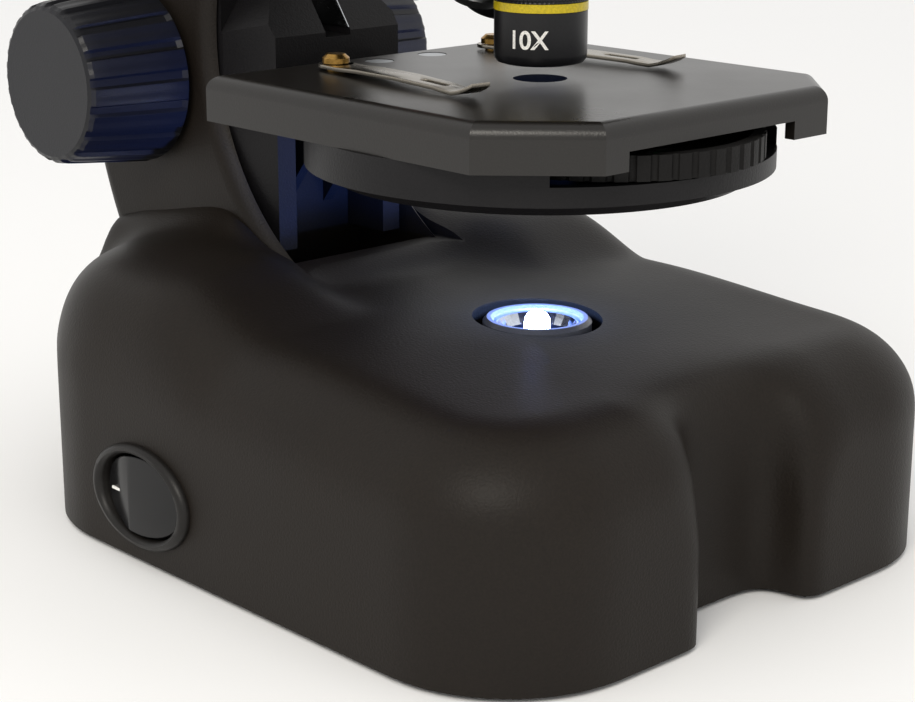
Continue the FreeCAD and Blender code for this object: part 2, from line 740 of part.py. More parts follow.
def pinion():
    """A spur gear with straight-flanked teeth; one tooth points straight at the rack."""
    body = doc.addObject("PartDesign::Body", "pinion_body")
    hub = body.newObject("Sketcher::SketchObject", "pinion_hub")
    plane = [f for f in body.Origin.OriginFeatures if f.Role == "YZ_Plane"][0]
    hub.AttachmentSupport = [(plane, "")]
    hub.MapMode = "FlatFace"
    hub.addGeometry(Part.Circle(Vector(), Vector(0, 0, 1), worked(root_radius)), False)
    hub.addGeometry(Part.Circle(Vector(), Vector(0, 0, 1), worked("shaft_radius")), False)
    for index, text in enumerate((root_radius, "shaft_radius")):
        hub.addConstraint(Sketcher.Constraint("Coincident", index, 3, -1, 1))
        number = hub.addConstraint(Sketcher.Constraint("Radius", index, worked(text)))
        bind(hub, "Constraints[%d]" % number, text)
    disc = body.newObject("PartDesign::Pad", "pinion_disc")
    disc.Profile = hub
    bind(disc, "Length", "gear_width")
    tip = "-(%s + tooth_tip)" % pitch_radius
    foot = "-(%s - 0.3)" % root_radius
    tooth = draw(body, "YZ", [
        (foot, "-tooth_thick * 0.8"),
        (foot, "tooth_thick * 0.8"),
        (tip, "tooth_thick * 0.28"),
        (tip, "-tooth_thick * 0.28"),
    ])
    first = body.newObject("PartDesign::Pad", "pinion_tooth")
    first.Profile = tooth
    bind(first, "Length", "gear_width")
    doc.recompute()
    ring = body.newObject("PartDesign::PolarPattern", "pinion_teeth")
    ring.Originals = [first]
    ring.Axis = (hub, ["N_Axis"])
    ring.Angle = 360
    bind(ring, "Occurrences", "gear_teeth")
    body.Tip = ring
    return place(body, "-gear_width / 2", "focus_y", "focus_z")


node("focus_pinion", pinion())


def knob(side):
    """A tapered focus knob with shallow finger flutes, bored for the shaft."""
    blank = turned("knob_%s_blank" % side, [
        ("0", "0"),
        ("knob_rear - 1.2", "0"),
        ("knob_rear", "1.6"),
        ("knob_face", "knob_length - 1.6"),
        ("knob_face - 1.4", "knob_length"),
        ("0", "knob_length"),
    ])
    bore = rod("knob_%s_bore" % side, "shaft_radius", "knob_length - 3", z="-1")
    flutes = []
    for n in range(18):
        flute = rod("knob_%s_flute_%d" % (side, n), "1.3", "knob_length")
        turn = "%d * 20" % n
        reach = "(knob_face + 0.9)"
        place(flute, "%s * cos(%s)" % (reach, turn), "%s * sin(%s)" % (reach, turn), "2.2")
        flutes.append(flute)
    knurled = cut("knob_%s_body" % side, blank, bore, *flutes)
    sign, angle = ("-", "-90") if side == "left" else ("", "90")
    return aim(knurled, (0, 1, 0), angle, sign + "knob_back", "focus_y", "focus_z")


node("focus_knob_left", knob("left"))
node("focus_knob_right", knob("right"))

# ---------------------------------------------------------------- stage carriage
carriage_plan = [
    ("-carriage_nose", "carriage_front"),
    ("carriage_nose", "carriage_front"),
    ("carriage_half", "carriage_step - 1"),
    ("carriage_half", "carriage_step"),
    ("-carriage_half", "carriage_step"),
    ("-carriage_half", "carriage_step - 1"),
]
nose = prism("carriage_nose_block", "XY", carriage_plan, "carriage_low", "carriage_top")
slider = box("carriage_slider", ("-carriage_half", "carriage_half"), ("carriage_step - 0.5", "carriage_back"),
             ("carriage_mid", "carriage_top"))
lift = "(carriage_top + 1 - bevel_start)"
front_bevel = prism("front_bevel", "YZ", [
    ("carriage_front - 1", "bevel_start"),
    ("carriage_front", "bevel_start"),
    ("carriage_front + bevel_slope * " + lift, "carriage_top + 1"),
    ("carriage_front - 1", "carriage_top + 1"),
], "-carriage_half - 1", "carriage_half + 1")
side_bevels = []
for side in ("-", ""):
    edge = ["%s(carriage_half)" % side, "%s(carriage_half + 1)" % side]
    slant = "%s(carriage_half - bevel_slope * %s)" % (side, lift)
    side_bevels.append(prism("side_bevel_%d" % len(side_bevels), "XZ", [
        (edge[0], "bevel_start"),
        (edge[1], "bevel_start"),
        (edge[1], "carriage_top + 1"),
        (slant, "carriage_top + 1"),
    ], "carriage_front - 1", "carriage_step - 0.5"))
leg_channel = box("leg_channel", ("-channel_half", "channel_half"), ("carriage_front - 1", "channel_back"),
                  ("carriage_low - 1", "channel_roof"))
top_slot = box("top_slot", ("-slot_half", "slot_half"), ("carriage_front - 1", "carriage_step - 5"),
               ("bevel_start - 1", "carriage_top + 1"))
rod_holes = [rod("carriage_rod_hole_" + tag, "rod_radius + run_fit", "80", side + "rod_x", "rod_y",
                 "carriage_low - 10")
             for tag, side in (("left", "-"), ("right", ""))]
node("stage_carriage", cut("carriage", fuse("carriage_solid", nose, slider), front_bevel, *side_bevels, leg_channel,
                           top_slot, *rod_holes))

rack_face = "(focus_y - %s)" % pitch_radius
rack_root = "(%s - gear_module * 1.15)" % rack_face
tooth_pitch = "(gear_module * 3.14159265)"
rack_bar = box("rack_bar", ("-rack_width / 2", "rack_width / 2"), ("carriage_back", rack_root),
               ("carriage_mid", "carriage_top"))
rack_teeth = []
for step in range(-6, 9):
    middle = "(focus_z + (%d + 0.5) * %s)" % (step, tooth_pitch)
    rack_teeth.append(prism("rack_tooth_%d" % (step + 6), "YZ", [
        (rack_root + " - 0.2", middle + " - tooth_thick * 0.72"),
        (rack_face + " + tooth_tip", middle + " - tooth_thick * 0.3"),
        (rack_face + " + tooth_tip", middle + " + tooth_thick * 0.3"),
        (rack_root + " - 0.2", middle + " + tooth_thick * 0.72"),
    ], "-rack_width / 2", "rack_width / 2"))
node("focus_rack", fuse("rack", rack_bar, *rack_teeth))

# ---------------------------------------------------------------- stage
deck_under = "(stage_top - stage_deck)"
skirt_low = "(stage_top - stage_skirt)"


def stage_outline(inset):
    left = "(stage_chamfer - %s * 0.586)" % inset
    right = "(stage_chamfer_right - %s * 0.586)" % inset
    half = "(stage_half - %s)" % inset
    front = "(stage_front - %s)" % inset
    back = "(stage_back - %s)" % inset
    return [
        ("-%s + %s" % (half, left), "-" + front),
        ("%s - %s" % (half, right), "-" + front),
        (half, "-%s + %s" % (front, right)),
        (half, back),
        ("-" + half, back),
        ("-" + half, "-%s + %s" % (front, left)),
    ]


stage_raw = prism("stage_raw", "XY", stage_outline("0"), skirt_low, "stage_top")
stage_soft = rounded("stage_soft", stage_raw, "stage_round", lambda edge: at_height(edge, worked("stage_top")))
stage_hollow = prism("stage_hollow", "XY", stage_outline("stage_wall"), skirt_low + " - 1", deck_under)
stage_bore = rod("stage_bore", "stage_hole", "20", z="stage_top - 10")
skirt_gap = box("skirt_gap", ("-skirt_cut_half", "skirt_cut_half"), ("-stage_front - 1", "-stage_front + stage_wall + 1"),
                (skirt_low + " - 1", "stage_top - skirt_left"))
tongue_gap = box("tongue_gap", ("-tongue_half - 0.2", "tongue_half + 0.2"),
                 ("stage_back - stage_wall - 1", "stage_back + 1"), (skirt_low + " - 1", deck_under))
post_holes = [rod("post_hole_%s" % tag, "post_radius", "20", side + "clip_x", "clip_y", "stage_top - 10")
              for tag, side in (("left", "-"), ("right", ""))]
stage_screw_y = "(stage_back - 8)"
deck_holes = [rod("deck_hole_%s" % tag, "screw_radius + screw_slip", "20", side + "tongue_half * 0.6", stage_screw_y,
                  "stage_top - 10")
              for tag, side in (("left", "-"), ("right", ""))]
deck_sinks = [rod("deck_sink_%s" % tag, "screw_head + 0.1", "5", side + "tongue_half * 0.6", stage_screw_y,
                  "stage_top - 1.2")
              for tag, side in (("left", "-"), ("right", ""))]
node("stage_plate", cut("stage", stage_soft, stage_hollow, stage_bore, skirt_gap, tongue_gap, *post_holes,
                        *deck_holes, *deck_sinks))

tongue = box("tongue", ("-tongue_half", "tongue_half"), ("stage_back - tongue_reach", "carriage_front"),
             (deck_under + " - tongue_thick", deck_under))
tongue_holes = [rod("tongue_hole_%s" % tag, "screw_radius + screw_slip", "20", side + "tongue_half * 0.6",
                    stage_screw_y, "stage_top - 15")
                for tag, side in (("left", "-"), ("right", ""))]
gussets = []
for low in ("-5 - gusset_thick", "5"):
    gussets.append(prism("gusset_%d" % len(gussets), "YZ", [
        ("carriage_front - 10", deck_under + " - tongue_thick"),
        ("channel_back", "carriage_low + 6"),
        ("channel_back", "channel_roof"),
        ("carriage_front", "channel_roof"),
        ("carriage_front", deck_under + " - tongue_thick"),
    ], low, low + " + gusset_thick"))
node("stage_bracket", cut("bracket", fuse("bracket_solid", tongue, *gussets), *tongue_holes))


def stage_screw(tag, side):
    x = side + "tongue_half * 0.6"
    head = rod("stage_screw_head_" + tag, "screw_head", "1.1", x, stage_screw_y, "stage_top - 1.2")
    shank = rod("stage_screw_shank_" + tag, "screw_radius", "6.3", x, stage_screw_y, "stage_top - 7.5")
    return fuse("stage_screw_" + tag, head, shank)


node("stage_screws", group("stage_screw_set", [stage_screw("left", "-"), stage_screw("right", "")]))

# ---------------------------------------------------------------- filter housing and wheel
pan = turned("pan_shell", [
    ("pan_hole", "pan_low"),
    ("pan_lower - 1.5", "pan_low"),
    ("pan_lower", "pan_low + 1.5"),
    ("pan_lower", "pan_mid"),
    ("pan_radius", "pan_mid"),
    ("pan_radius", skirt_low),
    ("pan_radius - pan_wall", skirt_low),
    ("pan_radius - pan_wall", "pan_mid + 0.8"),
    ("pan_lower - pan_wall", "pan_mid + 0.8"),
    ("pan_lower - pan_wall", "pan_low + pan_floor"),
    ("pan_hole", "pan_low + pan_floor"),
])
window = box("wheel_window", ("-wheel_radius * 1.03", "wheel_radius * 1.03"), ("-pan_radius - 3", "-pan_radius + 15"),
             ("wheel_low - wheel_gap", skirt_low + " + 1"))
pivot_seat = rod("pivot_seat", "hub_radius + 2", "wheel_low - wheel_gap - pan_low - 1", "0", "-wheel_offset",
                 "pan_low + 1")
pivot_bore = rod("pivot_bore", "screw_radius + screw_slip", "20", "0", "-wheel_offset", "pan_low - 5")
node("filter_housing", cut("pan", fuse("pan_with_seat", pan, pivot_seat), window, pivot_bore))

wheel_rim = turned("wheel_rim", [
    ("hub_radius - 1.5 + run_fit", "wheel_low"),
    ("wheel_radius", "wheel_low"),
    ("wheel_radius", "wheel_low + wheel_thick"),
    ("wheel_radius - 2.5", "wheel_low + wheel_thick"),
    ("wheel_radius - 2.5", "wheel_low + wheel_web"),
    ("hub_radius + 1.5", "wheel_low + wheel_web"),
    ("hub_radius + 1.5", "wheel_low + wheel_thick"),
    ("hub_radius - 1.5 + run_fit", "wheel_low + wheel_thick"),
])
wheel_cuts = []
for n in range(6):
    turn = "90 + %d * 60" % n
    seat = rod("filter_seat_%d" % n, "filter_radius + 0.02", "10", "wheel_offset * cos(%s)" % turn,
               "wheel_offset * sin(%s)" % turn, "wheel_low - 2")
    wheel_cuts.append(seat)
for n in range(48):
    turn = "%d * 7.5" % n
    reach = "(wheel_radius + 0.25)"
    wheel_cuts.append(rod("wheel_rib_%d" % n, "0.8", "10", "%s * cos(%s)" % (reach, turn),
                          "%s * sin(%s)" % (reach, turn), "wheel_low - 2"))
node("filter_wheel", place(cut("wheel", wheel_rim, *wheel_cuts), y="-wheel_offset"))
for n, colour in ((1, "red"), (3, "green"), (5, "blue")):
    turn = "90 + %d * 60" % n
    node("filter_" + colour, rod("gel_" + colour, "filter_radius", "1", "wheel_offset * cos(%s)" % turn,
                                 "-wheel_offset + wheel_offset * sin(%s)" % turn, "wheel_low + 0.5"))
pivot_head = rod("pivot_head", "hub_radius", "1.2", "0", "-wheel_offset", "wheel_low + wheel_thick + wheel_gap")
pivot_neck = rod("pivot_neck", "hub_radius - 1.5", "wheel_thick + 2 * wheel_gap", "0", "-wheel_offset",
                 "wheel_low - wheel_gap")
pivot_tail = rod("pivot_tail", "screw_radius", "wheel_low - wheel_gap - pan_low", "0", "-wheel_offset", "pan_low")
node("wheel_pivot_screw", fuse("pivot_screw", pivot_head, pivot_neck, pivot_tail))

# ---------------------------------------------------------------- stage clips
def clip(tag, side):
    """A spring-steel finger that turns on its post, with a turned-up tip and a locating pip."""
    eye = rod("clip_eye_" + tag, "clip_width / 2", "clip_thick", z="0")
    strap = prism("clip_strap_" + tag, "XY", [
        ("-clip_width / 2", "0"),
        ("-clip_width * 0.3", "-clip_length + 3"),
        ("clip_width * 0.3", "-clip_length + 3"),
        ("clip_width / 2", "0"),
    ], "0", "clip_thick")
    tip = prism("clip_tip_" + tag, "YZ", [
        ("-clip_length + 3.5", "0"),
        ("-clip_length + 3.5", "clip_thick"),
        ("-clip_length", "2 + clip_thick"),
        ("-clip_length", "2"),
    ], "-clip_width * 0.3", "clip_width * 0.3")
    hole = rod("clip_hole_" + tag, "post_radius * 0.7 + run_fit", "4", z="-2")
    blade = cut("clip_blade_" + tag, fuse("clip_solid_" + tag, eye, strap, tip), hole)
    angle = "-clip_angle" if tag == "left" else "clip_angle"
    return aim(blade, (0, 0, 1), angle, side + "clip_x", "clip_y", "stage_top + 0.5")


def clip_post(tag, side):
    """A brass post: pressed into the deck, necked for the clip, with a round head on top."""
    return place(turned("post_" + tag, [
        ("0", deck_under),
        ("post_radius", deck_under),
        ("post_radius", "stage_top + 0.3"),
        ("post_radius * 0.7", "stage_top + 0.3"),
        ("post_radius * 0.7", "stage_top + 0.7 + clip_thick"),
        ("post_radius + 0.9", "stage_top + 0.7 + clip_thick"),
        ("post_radius + 0.9", "stage_top + 1.7 + clip_thick"),
        ("post_radius", "stage_top + 2.5 + clip_thick"),
        ("0", "stage_top + 2.5 + clip_thick"),
    ]), side + "clip_x", "clip_y")


for tag, side in (("left", "-"), ("right", "")):
    node("stage_clip_" + tag, clip(tag, side))
    node("clip_post_" + tag, clip_post(tag, side))

# ---------------------------------------------------------------- objective turret
seat_radius = "(seat_reach * sin(turret_tilt))"
seat_level = "(-seat_reach * cos(turret_tilt))"
rim_level = "(%s + (turret_radius - %s) * tan(turret_tilt))" % (seat_level, seat_radius)
cone_level = "(%s - %s * tan(turret_tilt))" % (seat_level, seat_radius)
turret_blank = turned("turret_blank", [
    ("3 + run_fit", cone_level + " + 0.9"),
    ("turret_hub", cone_level + " + turret_hub * tan(turret_tilt)"),
    ("turret_radius - 1.5", rim_level + " - 1.5 * tan(turret_tilt)"),
    ("turret_radius", rim_level + " + 1"),
    ("turret_radius", "-turret_rim - 1"),
    ("turret_radius - 1", "-turret_rim"),
    ("3 + run_fit", "-turret_rim"),
])


def objective_turn(n):
    """Placement of the n-th objective's own axis: -Z down its barrel, origin at the apex."""
    about = FreeCAD.Rotation(Vector(0, 0, 1), 120 * n)
    lean = FreeCAD.Rotation(Vector(1, 0, 0), -worked("turret_tilt"))
    return about * lean


turret_rotation = FreeCAD.Rotation(Vector(1, 0, 0), worked("turret_tilt"))
apex = Vector(0, 0, worked("apex_z"))


def on_turret(thing, n):
    """Move a piece drawn along the optical axis, with the apex at its origin, to seat n."""
    thing.Placement = FreeCAD.Placement(apex, turret_rotation * objective_turn(n))
    return thing


seat_bores = []
for n in range(3):
    bore = doc.addObject("Part::Cylinder", "seat_bore_%d" % n)
    bind(bore, "Radius", "objective_neck")
    bind(bore, "Height", "30")
    spin = objective_turn(n)
    bore.Placement = FreeCAD.Placement(spin.multVec(Vector(0, 0, -worked("seat_reach") - 5)), spin)
    seat_bores.append(bore)
turret_body = cut("turret", turret_blank, *seat_bores)
turret_body.Placement = FreeCAD.Placement(apex, turret_rotation)
node("turret_body", turret_body)

hub_pin = turned("hub_pin", [
    ("0", "-hub_drop"),
    ("turret_hub - 2", "-hub_drop"),
    ("turret_hub - 0.2", "-hub_drop + 2"),
    ("turret_hub - 0.2", cone_level + " - 0.4"),
    ("3", cone_level + " - 0.4"),
    ("3", "-turret_rim + mount_gap + 1"),
    ("0", "-turret_rim + mount_gap + 1"),
])
hub_pin.Placement = FreeCAD.Placement(apex, turret_rotation)
node("turret_hub_screw", hub_pin)

lenses = []
for n, (name, length) in enumerate((("10x", "length_mid"), ("40x", "length_high"), ("4x", "length_low"))):
    tip = "(-seat_reach - %s)" % length
    barrel = turned("barrel_" + name, [
        ("lens_radius", tip + " + 0.6"),
        ("lens_radius + 1.2", tip),
        ("objective_radius - 2", tip),
        ("objective_radius", tip + " + 2"),
        ("objective_radius", "-seat_reach - 5"),
        ("objective_radius - 0.6", "-seat_reach - 5"),
        ("objective_radius - 0.6", "-seat_reach - 3.4"),
        ("objective_radius", "-seat_reach - 3.4"),
        ("objective_radius", "-seat_reach"),
        ("objective_neck - screw_slip", "-seat_reach"),
        ("objective_neck - screw_slip", "-seat_reach + 4"),
        ("lens_radius", "-seat_reach + 4"),
    ])
    node("objective_%s_barrel" % name, on_turret(barrel, n))
    band = turned("band_" + name, [
        ("objective_radius - 0.6", "-seat_reach - 5"),
        ("objective_radius + 0.1", "-seat_reach - 5"),
        ("objective_radius + 0.1", "-seat_reach - 3.4"),
        ("objective_radius - 0.6", "-seat_reach - 3.4"),
    ])
    node("objective_%s_ring" % name, on_turret(band, n))
    lens = doc.addObject("Part::Cylinder", "lens_" + name)
    bind(lens, "Radius", "lens_radius")
    bind(lens, "Height", "1.6")
    spin = turret_rotation * objective_turn(n)
    lens.Placement = FreeCAD.Placement(apex + spin.multVec(Vector(0, 0, worked(tip + " + 0.8"))), spin)
    lenses.append(lens)
node("objective_lenses", group("lens_set", lenses))

# ---------------------------------------------------------------- head
sine = "sin(turret_tilt)"
cosine = "cos(turret_tilt)"


def tilted(across, up):
    """World (y, z) of a point given across and along the turret's axis from the apex."""
    return ("(%s) * %s - (%s) * %s" % (across, cosine, up, sine),
            "apex_z + (%s) * %s + (%s) * %s" % (across, sine, up, cosine))


mount_low = "(-turret_rim + mount_gap)"
mount_high = "(%s + mount_thick)" % mount_low
mount_ring = turned("mount_blank", [
    ("3.2", mount_low + " + 1"),
    ("5", mount_low + " + 1"),
    ("5", mount_low),
    ("turret_radius - 2", mount_low),
    ("turret_radius - 2", mount_high),
    ("3.2", mount_high),
])
light_port = rod("light_port", "head_bore - 1", "60", z="-60")
light_port.Placement = FreeCAD.Placement(Vector(0, 0, 0), turret_rotation.inverted()).multiply(
    FreeCAD.Placement(Vector(0, 0, -60), FreeCAD.Rotation()))
turret_mount = cut("mount", mount_ring, light_port)
turret_mount.Placement = FreeCAD.Placement(apex, turret_rotation)
node("turret_mount", turret_mount)

under_front = tilted("-(turret_radius + 1)", mount_high)
under_back = tilted("turret_radius + 4", mount_high)
head_profile = [
    under_front,
    under_back,
    ("arm_front", throat_roof),
    ("arm_front", "arm_top"),
    ("-head_front + 8", "arm_top", "8", 1),
    ("-head_front", "arm_top - 8"),
    ("-head_front", under_front[1] + " + 10"),
]
head_raw = prism("head_raw", "YZ", head_profile, "-head_half", "head_half")
head_soft = rounded("head_soft", head_raw, "4",
                    lambda edge: all(abs(abs(v.X) - worked("head_half")) < 1e-4 for v in edge.Vertexes)
                    and abs(edge.Vertexes[0].X - edge.Vertexes[-1].X) < 1e-4
                    and all(v.Z > worked(throat_roof) + 1 for v in edge.Vertexes)
                    and not all(abs(v.Y - worked("arm_front")) < 1e-4 for v in edge.Vertexes))
roof = "(arm_top - head_wall)"
hollow_front = tilted("-(turret_radius - 4)", mount_high + " + head_wall")
hollow_back = tilted("turret_radius + 2", mount_high + " + head_wall")
head_hollow = prism("head_hollow", "YZ", [
    hollow_front,
    hollow_back,
    ("arm_front - head_wall", throat_roof + " + head_wall + 1.5"),
    ("arm_front - head_wall", roof),
    ("-head_front + 8", roof, "8 - head_wall", 1),
    ("-head_front + head_wall", "arm_top - 8"),
    ("-head_front + head_wall", hollow_front[1] + " + 10"),
], "-head_half + head_wall", "head_half - head_wall")
top_port = rod("top_port", "spigot_radius + run_fit", "20", z="arm_top - 10")
under_port = rod("under_port", "head_bore", "30", z="apex_z - 50")
hub_port = rod("hub_port", "3.2", "20", z="0")
hub_port.Placement = FreeCAD.Placement(apex + turret_rotation.multVec(Vector(0, 0, worked(mount_low) - 1)),
                                       turret_rotation)
lock_port = rod("lock_port", "1.6 + run_fit", "10", "head_half - 6", "0", "arm_top - 8", "x")
node("head_housing", cut("head", head_soft, head_hollow, top_port, under_port, hub_port, lock_port))

# ---------------------------------------------------------------- turning prism housing and eyepiece
house_low = "(arm_top + turning_gap)"
house_high = "(%s + prism_house)" % house_low
axis_level = "(%s + prism_house / 2)" % house_low
house_block = prism("house_block", "YZ", [
    ("-prism_half", house_low),
    ("prism_half", house_low),
    ("prism_half", axis_level + " + (tube_start - prism_half * sin(tube_angle)) / cos(tube_angle)"),
    ("(tube_start - prism_house / 2 * cos(tube_angle)) / sin(tube_angle)", house_high),
    ("-prism_half + 6", house_high, "6", 1),
    ("-prism_half", house_high + " - 6"),
], "-prism_half", "prism_half")
house_soft = rounded("house_soft", house_block, "3",
                     lambda edge: all(abs(abs(v.X) - worked("prism_half")) < 1e-4 for v in edge.Vertexes)
                     and abs(edge.Vertexes[0].X - edge.Vertexes[-1].X) < 1e-4
                     and not at_height(edge, worked(house_low)))
spigot = rod("spigot", "spigot_radius", "spigot_depth + turning_gap", z="arm_top - spigot_depth")
down_bore = rod("down_bore", "head_bore", "spigot_depth + 10", z="arm_top - spigot_depth - 1")
prism_room = box("prism_room", ("-prism_half + 4", "prism_half - 4"), ("-prism_half + 4", "prism_half - 5.5"),
                 (house_low + " + 5", house_low + " + 22"))
eye_bore = aim(rod("eye_bore", "tube_bore", "60"), (1, 0, 0), "-tube_angle", "0", "0", axis_level)
node("prism_housing", cut("house", fuse("house_solid", house_soft, spigot), down_bore, prism_room, eye_bore))
node("erecting_prism", prism("glass_prism", "YZ", [
    ("-prism_half + 4.5", house_low + " + 5"),
    ("prism_half - 6", house_low + " + 5"),
    ("-prism_half + 4.5", house_low + " + 17"),
], "-9", "9"))

tube_end = "(tube_start + tube_length)"
tube = turned("tube_blank", [
    ("tube_bore", "tube_start"),
    ("tube_radius", "tube_start"),
    ("tube_radius", tube_end + " - 1"),
    ("tube_radius - 1", tube_end),
    ("tube_bore", tube_end),
])
node("eyepiece_tube", aim(tube, (1, 0, 0), "-tube_angle", "0", "0", axis_level))
eye_fit = "(tube_bore - run_fit)"
eyepiece = turned("eyepiece_blank", [
    ("8.2", tube_end + " - eyepiece_in"),
    (eye_fit, tube_end + " - eyepiece_in"),
    (eye_fit, tube_end),
    ("tube_radius", tube_end),
    ("tube_radius", tube_end + " + eyepiece_out - 5"),
    ("tube_radius - 2.5", tube_end + " + eyepiece_out - 2"),
    ("8.2", tube_end + " + eyepiece_out - 2"),
])
node("eyepiece_barrel", aim(eyepiece, (1, 0, 0), "-tube_angle", "0", "0", axis_level))
cup_ring = turned("eye_cup_blank", [
    ("6.4", tube_end + " + eyepiece_out - 2"),
    ("tube_radius - 2.7", tube_end + " + eyepiece_out - 2"),
    ("tube_radius - 3.2", tube_end + " + eyepiece_out + 1"),
    ("9", tube_end + " + eyepiece_out + 1"),
    ("6.4", tube_end + " + eyepiece_out - 0.6"),
])
node("eye_cup", aim(cup_ring, (1, 0, 0), "-tube_angle", "0", "0", axis_level))
eye_lenses = []
for n, spot in enumerate((tube_end + " + eyepiece_out - 6", tube_end + " - eyepiece_in + 1")):
    lens = turned("eye_lens_%d" % n, [
        ("0", spot),
        ("8.2", spot),
        ("8.2", spot + " + 2"),
        ("0", spot + " + 3"),
    ])
    eye_lenses.append(aim(lens, (1, 0, 0), "-tube_angle", "0", "0", axis_level))
node("eyepiece_lenses", group("eye_lens_set", eye_lenses))

lock = turned("lock_blank", [
    ("0", "0"),
    ("4.5", "0"),
    ("4.5", "6"),
    ("3.9", "7"),
    ("0", "7"),
])
lock_shank = rod("lock_shank", "1.6", "8", z="-8")
node("head_lock_screw", aim(fuse("lock_screw", lock, lock_shank), (0, 1, 0), "90", "head_half", "0", "arm_top - 8"))

# ---------------------------------------------------------------- check and write
doc.recompute()
for thing in doc.Objects:
    if "Invalid" in thing.State or "Error" in thing.State:
        raise RuntimeError("%s did not build: %s" % (thing.Name, thing.State))
os.makedirs("parts", exist_ok=True)
for thing in nodes:
    shape = thing.Shape
    if shape.isNull() or not shape.isValid() or shape.Volume <= 0:
        raise RuntimeError("%s is not a sound solid" % thing.Label)
for thing in nodes:
    thing.Shape.exportStep("parts/%s.step" % thing.Label)
    box_now = thing.Shape.BoundBox
    print("%-22s %2d solid(s) x %.1f..%.1f y %.1f..%.1f z %.1f..%.1f" % (
        thing.Label, len(thing.Shape.Solids), box_now.XMin, box_now.XMax, box_now.YMin, box_now.YMax,
        box_now.ZMin, box_now.ZMax))
print("%d nodes" % len(nodes))
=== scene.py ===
import bpy
import bmesh
import math
from mathutils import Matrix, Vector


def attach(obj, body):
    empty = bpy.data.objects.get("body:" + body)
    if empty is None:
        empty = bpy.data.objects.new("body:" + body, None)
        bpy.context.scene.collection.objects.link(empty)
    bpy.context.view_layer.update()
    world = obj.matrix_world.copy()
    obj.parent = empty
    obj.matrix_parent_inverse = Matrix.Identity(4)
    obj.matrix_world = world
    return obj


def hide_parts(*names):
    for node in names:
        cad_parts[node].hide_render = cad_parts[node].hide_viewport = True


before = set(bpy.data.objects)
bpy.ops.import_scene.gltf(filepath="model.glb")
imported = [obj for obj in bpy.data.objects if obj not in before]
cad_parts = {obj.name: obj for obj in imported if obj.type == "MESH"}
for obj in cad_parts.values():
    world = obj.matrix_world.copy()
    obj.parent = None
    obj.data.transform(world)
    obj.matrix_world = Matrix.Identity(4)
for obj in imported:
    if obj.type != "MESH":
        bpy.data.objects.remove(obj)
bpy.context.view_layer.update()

# ------------------------------------------------------------------ the viewpoint
# The microscope is looked at from the front left and a little above, close in on its lower half,
# the way it is shown when its lamp, stage and switch matter most.
MM = 0.001

camera_data = bpy.data.cameras.new("camera")
camera_data.sensor_width = 36.0
camera_data.lens = 82.28
camera_data.clip_start = 0.01
camera = bpy.data.objects.new("camera", camera_data)
camera.location = (-0.283526, -0.280273, 0.154480)
camera.rotation_euler = (math.radians(90 - 15.97), math.radians(-0.07), math.radians(-43.05))
bpy.context.scene.collection.objects.link(camera)
bpy.context.scene.camera = camera

# ------------------------------------------------------------------ base shell
# The base is one hollow moulding in charcoal ABS with a fine spark-eroded skin. Its top runs over
# into the sides in one big soft curve, dips into a bay between two front lobes, and sweeps up at
# the back to meet both cheeks of the arm. It is open below and takes the lamp, switch and arm.
BASE_HALF = 65.5
BASE_FRONT = -58.0
BASE_BACK = 119.2
BASE_TOP = 48.0
FLANK = math.radians(32)
FLANK_X = 60.94
FLANK_Y = 78.8
TOP_ROUND = 17.0
BACK_RISE = 9.0
FRONT_DIP = 2.6


def linear(code):
    """An sRGB hex colour as linear red, green, blue and alpha."""
    parts = [int(code[i:i + 2], 16) / 255 for i in (1, 3, 5)]
    return tuple(c / 12.92 if c <= 0.04045 else ((c + 0.055) / 1.055) ** 2.4 for c in parts) + (1.0,)


def add(tree, kind, settings=None, links=None):
    """A new node with its settings, fed by other nodes' outputs."""
    made = tree.nodes.new(kind)
    for name, value in (settings or {}).items():
        if name in made.inputs:
            made.inputs[name].default_value = value
        else:
            setattr(made, name, value)
    for name, source in (links or {}).items():
        tree.links.new(source, made.inputs[name])
    return made


def plastic(name, dark, light, rough, grain_mm, grain_depth, specular=0.35, cloud_mm=30.0):
    """Moulded plastic: a fine grain, a slow drift of colour, and patches that handling has polished."""
    material = bpy.data.materials.new(name)
    material.use_nodes = True
    tree = material.node_tree
    shader = tree.nodes["Principled BSDF"]
    shader.inputs["Specular IOR Level"].default_value = specular
    shader.inputs["IOR"].default_value = 1.53
    where = add(tree, "ShaderNodeTexCoord").outputs["Object"]
    cloud = add(tree, "ShaderNodeTexNoise", {"Scale": 1 / (cloud_mm * MM), "Detail": 3.0}, {"Vector": where})
    grain = add(tree, "ShaderNodeTexNoise", {"Scale": 1 / (grain_mm * MM), "Detail": 2.0}, {"Vector": where})
    tone = add(tree, "ShaderNodeMix", {"data_type": "RGBA"}, {"Factor": cloud.outputs["Fac"]})
    tone.inputs[6].default_value = linear(dark)
    tone.inputs[7].default_value = linear(light)
    speck = add(tree, "ShaderNodeMapRange",
                {"From Min": 0.35, "From Max": 0.65, "To Min": 0.88, "To Max": 1.12},
                {"Value": grain.outputs["Fac"]})
    shade = add(tree, "ShaderNodeVectorMath", {"operation": "SCALE"},
                {0: tone.outputs[2], "Scale": speck.outputs[0]})
    tree.links.new(shade.outputs[0], shader.inputs["Base Color"])
    polish = add(tree, "ShaderNodeMapRange", {"To Min": rough - 0.06, "To Max": rough + 0.08},
                 {"Value": cloud.outputs["Fac"]})
    tree.links.new(polish.outputs[0], shader.inputs["Roughness"])
    relief = add(tree, "ShaderNodeBump", {"Strength": grain_depth, "Distance": 0.0002},
                 {"Height": grain.outputs["Fac"]})
    tree.links.new(relief.outputs[0], shader.inputs["Normal"])
    return material


